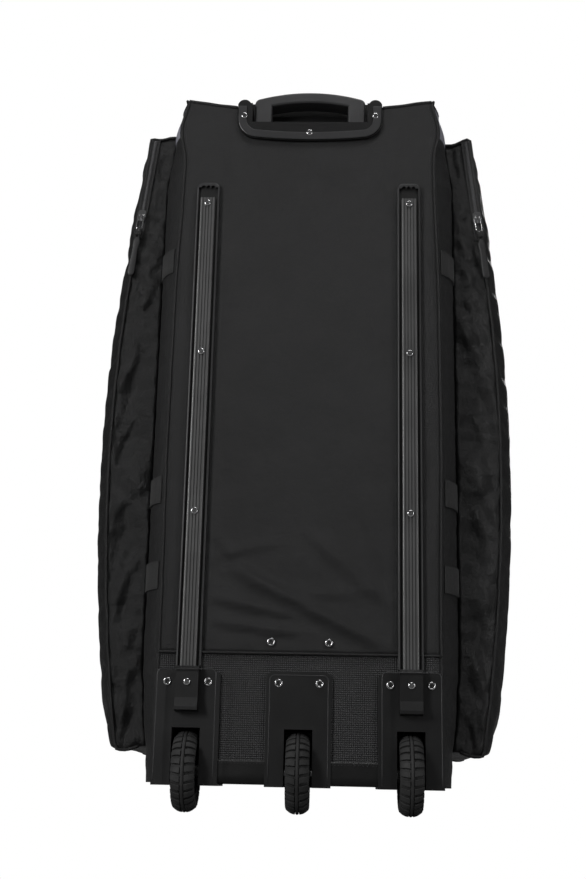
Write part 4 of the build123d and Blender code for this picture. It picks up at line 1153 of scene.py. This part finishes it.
def build_pocket_zips():
    parts = []
    for name, side in (("left", LEFT), ("right", RIGHT)):
        marks = lines(zip_end + 0.002, pocket_top - 0.004, 0.006)
        path = [zip_point(side, h, 0.0004) for h in marks]
        parts.append(ribbon(f"pocket_zip_tape_{name}", path, -0.0068, 0.0062, 0.0010, "tape"))
        for off in (-0.0062, 0.0056):
            lip = [zip_point(side, h, 0.0016, off) for h in marks]
            parts.append(tube(f"pocket_zip_lip_{name}", lip, 0.0008, "thread"))
        fine = [zip_point(side, h, 0.0014) for h in lines(zip_end + 0.006, pocket_top - 0.006, 0.0021)]
        parts.append(coil(f"pocket_zip_teeth_{name}", fine, 0.0050, 0.0012, "bag", (0, -1, 0)))
        for off in (-0.0046, -0.0038, 0.0044):
            row = [zip_point(side, h, 0.0014, off) for h in marks]
            parts.append(stitches(f"pocket_zip_stitch_{name}", row))
        bar = [zip_point(side, zip_end + 0.003, 0.0015, off) for off in lines(-0.006, 0.006, 0.001)]
        parts.append(ribbon(f"pocket_zip_stop_{name}", bar, -0.0016, 0.0016, 0.0010, "thread"))
    both = join("pocket_zip_pair", parts)
    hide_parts("pocket_zips")


build_pocket_zips()


# ---------------------------------------------------------------- webbing
def box_stitch(name, centre, u, v, half_u, half_v, normal):
    """A stitched square with a cross, in the plane of u and v."""
    u, v = Vector(u).normalized(), Vector(v).normalized()
    corners = ((-1, -1), (1, -1), (1, 1), (-1, 1))
    a, b, c, d = (centre + u * (half_u * i) + v * (half_v * j) for i, j in corners)
    rows = []
    for p, q in ((a, b), (b, c), (c, d), (d, a), (a, c), (b, d)):
        rows.append(stitches(name, [p, q], normal=normal, pitch=0.0034, length=0.0026))
    return join(name, rows)


def rounded_path(corners, radius, step=0.006):
    """Polyline through the corners with each turn rounded."""
    corners = [Vector(c) for c in corners]
    pts = [corners[0]]
    for a, b, c in zip(corners, corners[1:], corners[2:]):
        cut = min(radius, (b - a).length * 0.45, (c - b).length * 0.45)
        p, q = b + (a - b).normalized() * cut, b + (c - b).normalized() * cut
        pts += [p * (1 - t) ** 2 + b * (2 * t * (1 - t)) + q * t**2 for t in [i / 6 for i in range(7)]]
    pts.append(corners[-1])
    return resample(pts, step)


strap_half = 0.019
strap_seam = 0.0165


def strap_normals(path, turn):
    """The strap's face direction at each point; turn makes it from the path's direction."""
    out = []
    for i in range(len(path)):
        along = path[min(i + 1, len(path) - 1)] - path[max(i - 1, 0)]
        out.append(turn(along).normalized())
    return out


def sewn_strap(name, path, normals, thickness, look, stitch_name, sideways, seam=strap_seam):
    """Webbing strap and the rows of stitches near its two edges."""
    strap = ribbon(name, path, -strap_half, strap_half, thickness, look, normal=normals, segments=6)
    apply_all(strap)
    rows = []
    for off in (-seam, seam):
        row = [p + n * (thickness + 0.0001) + sideways * off for p, n in zip(path, normals)]
        rows.append(stitches(stitch_name, row, normal=normals))
    return [strap] + rows


def build_gusset_webbing():
    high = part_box("gusset_webbing")[1]
    strap_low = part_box("haul_handles")[0].z
    parts = []
    for h in (strap_low - ground, 0.390, high.z - strap_half - ground):
        for side in (LEFT, RIGHT):
            depths = [0.0035 + 0.0021 * i for i in range(21)]
            path = [Vector((side * (side_x(d, h) + 0.0006), back + d, ground + h)) for d in depths]
            normals = strap_normals(path, lambda t, side=side: Vector((side * abs(t.y), -abs(t.x), 0)))
            parts += sewn_strap("gusset_band", path, normals, 0.0016, "band", "gusset_band_stitch",
                                Vector((0, 0, 1)), strap_half - 0.003)
    both = join("gusset_webbing_bands", parts)
    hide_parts("gusset_webbing")


def squarish(v, power):
    """Bends a sine or cosine so that the ring it draws has squarer corners; it keeps its sign."""
    return abs(v) ** power * (1 if v > 0 else -1)


def build_haul_handles():
    low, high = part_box("haul_handles")
    sleeve_low, sleeve_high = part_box("haul_sleeves")
    haul_x = high.x - 0.019
    rise = high.y - front - 0.003
    for name, side in (("left", LEFT), ("right", RIGHT)):
        x = side * haul_x
        base, out = front + 0.0004, front + rise
        corners = [(x, base, low.z), (x, base, low.z + 0.062), (x, out, low.z + 0.105),
                   (x, out, high.z - 0.105), (x, base, high.z - 0.062), (x, base, high.z)]
        path = rounded_path(corners, 0.024)
        normals = strap_normals(path, lambda t: Vector((0, t.z, -t.y)))
        parts = sewn_strap(f"haul_strap_{name}", path, normals, 0.0024, "webbing", "haul_stitch",
                           Vector((1, 0, 0)))
        for z in (low.z + 0.027, high.z - 0.027):
            parts.append(box_stitch("haul_box", Vector((x, base + 0.0025, z)), (1, 0, 0), (0, 0, 1),
                                    0.014, 0.02, normal=(0, 1, 0)))
        whole = join(f"haul_handle_{name}", parts)
        if side == RIGHT:
            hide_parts("haul_handles")

        # Padded wrap round the middle of the strap.
        middle = (sleeve_low.z + sleeve_high.z) / 2
        half = (sleeve_high.z - sleeve_low.z) / 2
        cy = (sleeve_low.y + sleeve_high.y) / 2
        verts = []
        rows = lines(-half, half, 0.005)
        around = 28
        for z in rows:
            near = clamp((half - abs(z)) / 0.008)
            swell = 0.0016 * smooth((half - abs(z)) / 0.03) + 0.0006 * noise.noise((side * 3.0, z * 60, 1.0))
            for k in range(around):
                a = 2 * pi * k / around
                px = squarish(cos(a), 0.55) * (0.0212 + swell)
                py = squarish(sin(a), 0.55) * (0.0036 + swell)
                verts.append(Vector((x + px * mix(0.94, 1, near), cy + py * mix(0.8, 1, near), middle + z)))
        faces = loft(len(rows), around)
        wrap = outward(piece(f"haul_sleeve_{name}", verts, faces, "nylon", slot="sleeve_fabric"))
        if side == RIGHT:
            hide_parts("haul_sleeves")
        marks = lines(-half + 0.004, half - 0.004, 0.006)
        edge = [Vector((x + 0.009 * side, cy + 0.0055, middle + z)) for z in marks]
        flap = ribbon(f"haul_sleeve_flap_{name}", edge, -0.0085, 0.0085, 0.0012, "webbing", normal=(0, 1, 0))
        apply_all(flap)
        rim = [stitches("flap_stitch", [p + Vector((o, 0.0013, 0)) for p in edge], normal=(0, 1, 0))
               for o in (-0.0065, 0.0065)]
        join(f"haul_sleeve_flap_{name}", [flap] + rim)


def build_side_handles():
    low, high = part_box("side_handles")
    z = (low.z + high.z) / 2
    out = high.x - 0.0024
    base = out - 0.014
    parts = []
    for side in (LEFT, RIGHT):
        corners = [(side * base, low.y, z), (side * base, low.y + 0.030, z),
                   (side * out, low.y + 0.052, z), (side * out, high.y - 0.052, z),
                   (side * base, high.y - 0.030, z), (side * base, high.y, z)]
        path = rounded_path(corners, 0.014)
        normals = strap_normals(path, lambda t, side=side: Vector((side * t.y, -side * t.x, 0)))
        parts += sewn_strap("side_strap", path, normals, 0.0022, "band", "side_stitch", Vector((0, 0, 1)))
        for y in (low.y + 0.014, high.y - 0.014):
            parts.append(box_stitch("side_box", Vector((side * (base + 0.0023), y, z)), (0, 1, 0), (0, 0, 1),
                                    0.010, 0.0135, normal=(side, 0, 0)))
    both = join("side_handle_pair", parts)
    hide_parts("side_handles")


def build_top_handle():
    low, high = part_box("top_handle")
    y = (low.y + high.y) / 2
    base, out = low.z + 0.0014, high.z - 0.0026
    corners = [(low.x, y, base), (low.x + 0.028, y, base), (low.x + 0.052, y, out), (high.x - 0.052, y, out),
               (high.x - 0.028, y, base), (high.x, y, base)]
    path = rounded_path(corners, 0.016)
    normals = strap_normals(path, lambda t: Vector((-t.z, 0, t.x)))
    parts = sewn_strap("top_strap", path, normals, 0.0024, "webbing", "top_stitch", Vector((0, 1, 0)))
    for x in (low.x + 0.014, high.x - 0.014):
        parts.append(box_stitch("top_box", Vector((x, y, base + 0.0025)), (1, 0, 0), (0, 1, 0), 0.010, 0.0135,
                                normal=(0, 0, 1)))
    whole = join("top_grab_handle", parts)
    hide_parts("top_handle")


build_gusset_webbing()
build_haul_handles()
build_side_handles()
build_top_handle()


# ---------------------------------------------------------------- wheels
def build_tyre(name):
    """Crowned tyre with a central rib and rows of blocks whose shoulders curve away."""
    low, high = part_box(f"tyre_{name}")
    axle = (low + high) / 2
    outer = (high.z - low.z) / 2
    half = (high.x - low.x) / 2
    inner = (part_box(f"rim_{name}")[1].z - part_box(f"rim_{name}")[0].z) / 2
    crown, groove, rib = 0.007, 0.0038, 0.0018

    def tread(x):
        return outer - crown * (abs(x) / half) ** 2.4

    turns = 132
    marks = [-1, -0.92, -0.8, -0.62, -0.45, -0.3]
    floor_line = [(half * m, tread(half * m) - groove) for m in marks]
    profile = [(-half + 0.003, inner + 0.0001), (-half, inner + 0.0045)] + floor_line
    profile += [(-rib - 0.0006, outer - groove), (-rib, outer - 0.0005), (0.0, outer), (rib, outer - 0.0005),
                (rib + 0.0006, outer - groove)]
    profile += [(-x, r) for x, r in reversed(floor_line)]
    profile += [(half, inner + 0.0045), (half - 0.003, inner + 0.0001)]
    verts = []
    for k in range(turns):
        a = 2 * pi * k / turns
        verts += [axle + Vector((x, r * sin(a), r * cos(a))) for x, r in profile]
    faces = loft(turns, len(profile), closed=True)
    blocks = 28
    for side in (-1, 1):
        for k in range(blocks):
            a = 2 * pi * (k + (0.12 if side > 0 else 0)) / blocks
            wide = 2 * pi / blocks * 0.35
            xs = [rib + 0.0004, rib + 0.0012] + [half * m for m in (0.4, 0.55, 0.7, 0.85, 0.95)]
            shape = [(xs[0], outer - groove - 0.0006, 1.0)] + [(x, tread(x), 0.93) for x in xs[1:]]
            shape += [(half + 0.0001, tread(half) - 0.0015, 0.9), (half + 0.0002, tread(half) - 0.0055, 0.75),
                      (half - 0.0012, tread(half) - 0.0065, 0.75)]
            b = len(verts)
            for x, r, w in shape:
                for e in (-1, 1):
                    t = a + e * wide * w + 0.045 * x / half
                    verts.append(axle + Vector((side * x, r * sin(t), r * cos(t))))
            for i in range(len(shape) - 1):
                j = b + 2 * i
                faces.append((j, j + 1, j + 3, j + 2))
            last = b + 2 * len(shape)
            faces.append((b, b + 1, last - 1, last - 2))
            faces.append(tuple(b + 2 * i for i in range(len(shape))))
            faces.append(tuple(b + 2 * i + 1 for i in range(len(shape))))
    tyre = outward(piece(f"tread_{name}", verts, faces, "tyre", f"wheel_{name}", shade=False))
    edge = tyre.modifiers.new("edge", "BEVEL")
    edge.width = 0.0005
    edge.segments = 1
    edge.limit_method = "ANGLE"
    edge.angle_limit = radians(35)
    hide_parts(f"tyre_{name}")


for name in ("left", "middle", "right"):
    build_tyre(name)


# ---------------------------------------------------------------- wheel housing beads
def build_housing_beads():
    """Thin raised bead moulded round the top and sides of each wheel housing."""
    for name in ("left", "middle", "right"):
        low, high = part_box(f"wheel_housing_{name}")
        inset, bend = 0.0045, 0.0065
        left, right, crest = low.x + inset, high.x - inset, high.z - inset
        upright = lines(low.z + 0.004, crest - bend, 0.012)
        turn = [(bend * (1 - cos(a)), crest - bend * (1 - sin(a))) for a in (0.4, 0.8, 1.2)]
        path = [Vector((left, low.y, z)) for z in upright]
        path += [Vector((left + x, low.y, z)) for x, z in turn]
        path += [Vector((x, low.y, crest)) for x in lines(left + bend, right - bend, 0.012)]
        path += [Vector((right - x, low.y, z)) for x, z in reversed(turn)]
        path += [Vector((right, low.y, z)) for z in reversed(upright)]
        # The bead's lighter plastic is a painted highlight along the housing's edge.
        tube(f"housing_bead_{name}", path, 0.0007, "rim_highlight", slot="housing_plastic")


build_housing_beads()


# ---------------------------------------------------------------- rivets and bolts
def lathe(name, spots, profile, look, slot):
    """Turned heads facing the back, one at each spot; the profile is (radius, how far proud)."""
    verts, faces = [], []
    around = 28
    for spot in spots:
        start = len(verts)
        for r, proud in profile:
            for k in range(around):
                a = 2 * pi * k / around
                verts.append(spot + Vector((r * cos(a), -proud, r * sin(a))))
        faces += loft(len(profile), around, start)
    return outward(piece(name, verts, faces, look, slot=slot))


def build_rivets():
    """Tubular rivets on the wheel housings and two dished bolts above them."""
    ring = [(0.0026, -0.003), (0.0054, 0.0), (0.0056, 0.0006), (0.0052, 0.0014), (0.0044, 0.0019),
            (0.0036, 0.0018), (0.0030, 0.0012), (0.0027, 0.0002), (0.0012, -0.0004)]
    low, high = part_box("housing_rivets")
    z = (low.z + high.z) / 2
    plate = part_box("wheel_housing_middle")[0].y
    offset = high.x - 0.0055 - rail_x
    spots = [Vector((w + s * offset, plate, z)) for w in wheel_xs for s in (-1, 1)]
    rivets = lathe("housing_rivet_heads", spots, ring, "chrome", "screw_steel")
    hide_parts("housing_rivets")
    # Dark disc filling each head's hollow centre: painted shade.
    core = [(0.0033, 0.0004), (0.0033, 0.0011), (0.0016, 0.0005), (0.0006, 0.0004)]
    lathe("housing_rivet_cores", spots, core, "dished", "screw_steel")
    low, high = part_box("bracket_bolts")
    z = (low.z + high.z) / 2
    x = high.x - 0.0056
    spots = [Vector((s * x, back, z)) for s in (-1, 1)]
    bolts = lathe("bracket_bolt_heads", spots, ring, "chrome", "screw_steel")
    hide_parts("bracket_bolts")
    lathe("bracket_bolt_cores", spots, core, "dished", "screw_steel")


build_rivets()


# ---------------------------------------------------------------- pocket pulls
def build_pull(name, side):
    """Chrome loop, a knotted cord through it and a moulded grip at the end."""
    low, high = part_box(f"pocket_pull_{name}")
    slider_low, slider_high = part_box(f"pocket_slider_{name}")
    body = f"pocket_pull_{name}"
    y = (low.y + high.y) / 2
    h = (slider_low.z + slider_high.z) / 2 - ground
    origin = zip_point(side, h)
    origin.y = y
    lean = (zip_point(side, h - 0.05) - zip_point(side, h)).normalized()
    lean.y = 0
    across_way = Vector((-lean.z, 0, lean.x))
    wire = 0.0011
    loop = []
    for t in [i / 20 for i in range(21)]:
        a = pi * t
        loop.append((0.0043 * cos(a), -0.0195 - 0.0045 * sin(a)))
    loop = [(0.0043, 0.0)] + loop + [(-0.0043, 0.0)]
    pts = [origin + across_way * a - lean * b for a, b in loop]
    parts = [tube("pull_loop", resample(pts, 0.0012, closed=True), wire, "chrome", body, closed=True)]
    pull_parts = []
    # Cord folded through the loop, held by a wrapped knot.
    strand = 0.0016
    for s in (-1, 1):
        run = [(0.0014 * s, 0.0222), (0.0030 * s, 0.0262), (0.0024 * s, 0.031), (0.0018 * s, 0.040)]
        pts = [origin + across_way * a + lean * b for a, b in run]
        cord = resample(rounded_path(pts, 0.003, 0.0012), 0.0012)
        pull_parts.append(tube("pull_cord", cord, strand, "webbing", body, slot="pull_cord"))
    for k in range(3):
        turn = []
        for a in [2 * pi * i / 16 for i in range(16)]:
            around_cord = across_way * (0.0046 * cos(a)) + Vector((0, 0.0030 * sin(a), 0))
            turn.append(origin + around_cord + lean * (0.0285 + 0.0021 * k))
        pull_parts.append(tube("pull_knot", turn, 0.0012, "webbing", body, tuple(lean), closed=True,
                               slot="pull_cord"))
    # Moulded grip: waisted, ribbed, with a rounded end.
    rows = [i / 40 for i in range(41)]
    start, end = 0.037, 0.0995
    rib_count = 11
    verts = []
    around = 20
    for t in rows:
        s = mix(start, end, t)
        round_end = sqrt(max(0.0, 1 - (max(0.0, t - 0.9) / 0.1) ** 2)) if t > 0.9 else 1
        neck = smooth(t / 0.12)
        waist = 1 - 0.16 * sin(pi * clamp((t - 0.12) / 0.5))
        ribbed = smooth((t - 0.2) / 0.05) * (1 - smooth((t - 0.75) / 0.05))
        ribs = 1 - 0.10 * (0.5 + 0.5 * cos(2 * pi * t * rib_count)) * ribbed
        wide = mix(0.0026, 0.0053 * waist * ribs, neck) * max(0.08, round_end)
        thick = mix(0.0017, 0.0021 * ribs, neck) * max(0.1, round_end)
        for k in range(around):
            a = 2 * pi * k / around
            verts.append(origin + lean * s + across_way * (wide * squarish(cos(a), 0.7))
                         + Vector((0, thick * squarish(sin(a), 0.7), 0)))
    pull_parts.append(outward(piece("pull_grip", verts, loft(len(rows), around), "tab", body)))
    whole = join(f"pocket_pull_cord_{name}", pull_parts + parts)
    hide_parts(f"pocket_pull_{name}")


for name, side in (("left", LEFT), ("right", RIGHT)):
    build_pull(name, side)


# ---------------------------------------------------------------- details on the mouldings
def build_bezel_rim():
    """Raised band along the swept lower edge of the handle's flange."""
    y = bezel_low.y - 0.0002
    half, drop = bezel_high.x, top - bezel_low.z
    corner, bow, inset = 0.030, 0.004, 0.0072
    low = top - drop + bow
    outline = [(-half + inset, top - 0.004), (-half + inset, low + corner)]
    outline += [(-half + corner - (corner - inset) * cos(a), low + corner - (corner - inset) * sin(a))
                for a in [pi / 2 * i / 10 for i in range(1, 10)]]
    flat = half - corner
    outline += [(x, low + inset - bow * (1 - (x / flat) ** 2)) for x in lines(-flat, flat, 0.006)]
    outline += [(-x, z) for x, z in reversed(outline[:11])]
    path = resample([Vector((x, y, z)) for x, z in outline], 0.0035)
    # The band's lighter plastic is a painted highlight along the flange's lower edge.
    band = ribbon("bezel_band", path, -0.0062, 0.0056, 0.0013, "rim_highlight", slot="handle_plastic", segments=4)
    band.modifiers["edge"].width = 0.0007
    band.modifiers["edge"].segments = 2


build_bezel_rim()


def build_bartack():
    """Zigzag bar of thread where the hem meets the reinforcement, between two wheel housings."""
    start = Vector((0.072, back - 0.0014, ground + 0.0265))
    zigzag = []
    for i in range(9):
        zigzag.append(start + Vector((0.0026 * i, 0, 0.0022 * (-1) ** i)))
    tube("bartack", zigzag, 0.0006, "thread", sides=6)


build_bartack()


# ---------------------------------------------------------------- stage, lights and camera
scene = bpy.context.scene
scene.view_settings.view_transform = "Standard"


def studio_white(tree, lit, seen):
    """White that looks clean behind the bag but lights it only softly."""
    nodes, links = tree.nodes, tree.links
    path = nodes.new("ShaderNodeLightPath")
    mixer = nodes.new("ShaderNodeMixShader")
    links.new(path.outputs["Is Camera Ray"], mixer.inputs[0])
    links.new(lit, mixer.inputs[1])
    links.new(seen, mixer.inputs[2])
    return mixer.outputs[0]


world = bpy.data.worlds.new("studio_world")
world.use_nodes = True
backdrop = world.node_tree.nodes["Background"]
backdrop.inputs["Color"].default_value = (1, 1, 1, 1)
backdrop.inputs["Strength"].default_value = 0.07
clean = world.node_tree.nodes.new("ShaderNodeBackground")
clean.inputs["Color"].default_value = (1, 1, 1, 1)
clean.inputs["Strength"].default_value = 1.0
world.node_tree.links.new(
    studio_white(world.node_tree, backdrop.outputs[0], clean.outputs[0]),
    world.node_tree.nodes["World Output"].inputs[0])
scene.world = world

floor_mesh = bpy.data.meshes.new("studio_floor")
reach = 12.0
floor_mesh.from_pydata([(-reach, -reach, 0), (reach, -reach, 0), (reach, reach, 0), (-reach, reach, 0)], [],
                       [(0, 1, 2, 3)])
paper = bpy.data.materials.new("studio_paper")
paper.use_nodes = True
paper_shader = paper.node_tree.nodes["Principled BSDF"]
paper_shader.inputs["Base Color"].default_value = (0.3, 0.3, 0.3, 1)
paper_shader.inputs["Roughness"].default_value = 0.9
glow = paper.node_tree.nodes.new("ShaderNodeEmission")
glow.inputs["Strength"].default_value = 1.0
paper.node_tree.links.new(
    studio_white(paper.node_tree, paper_shader.outputs[0], glow.outputs[0]),
    paper.node_tree.nodes["Material Output"].inputs[0])
floor_mesh.materials.append(paper)
studio_floor = bpy.data.objects.new("studio_floor", floor_mesh)
bpy.context.scene.collection.objects.link(studio_floor)


def softbox(name, place, target, size, power):
    """A rectangular studio light that looks at the target."""
    light = bpy.data.lights.new(name, "AREA")
    light.shape = "RECTANGLE"
    light.size, light.size_y = size
    light.energy = power
    obj = bpy.data.objects.new(name, light)
    obj.location = place
    obj.rotation_euler = (Vector(target) - Vector(place)).to_track_quat("-Z", "Y").to_euler()
    bpy.context.scene.collection.objects.link(obj)


softbox("key", (-2.0, -2.3, 1.3), (0, 0, 0.5), (0.7, 1.1), 48)
softbox("fill", (2.2, -1.7, 0.8), (0, 0, 0.5), (0.6, 1.4), 14)
softbox("top_light", (0.3, -1.1, 2.5), (0, 0, 0.5), (1.2, 0.6), 12)
softbox("front_light", (0.6, 2.6, 1.8), (0, 0, 0.5), (1.4, 1.4), 40)

camera_data = bpy.data.cameras.new("camera")
camera_data.sensor_fit = "HORIZONTAL"
camera_data.sensor_width = 36
camera_data.lens = 76.1
camera = bpy.data.objects.new("camera", camera_data)
yaw, pitch, roll = radians(-1.96), radians(15.53), radians(1.23)
ahead = Vector((sin(yaw) * cos(pitch), cos(yaw) * cos(pitch), sin(pitch)))
right = Vector((cos(yaw), -sin(yaw), 0))
up = right.cross(ahead)
turned_right = right * cos(roll) + up * sin(roll)
turned_up = up * cos(roll) - right * sin(roll)
place = Vector((0.0418, back - 1.6586, ground + 0.0018))
camera.matrix_world = Matrix((
    (turned_right.x, turned_up.x, -ahead.x, place.x),
    (turned_right.y, turned_up.y, -ahead.y, place.y),
    (turned_right.z, turned_up.z, -ahead.z, place.z),
    (0, 0, 0, 1),
))
bpy.context.scene.collection.objects.link(camera)
bpy.context.scene.camera = camera
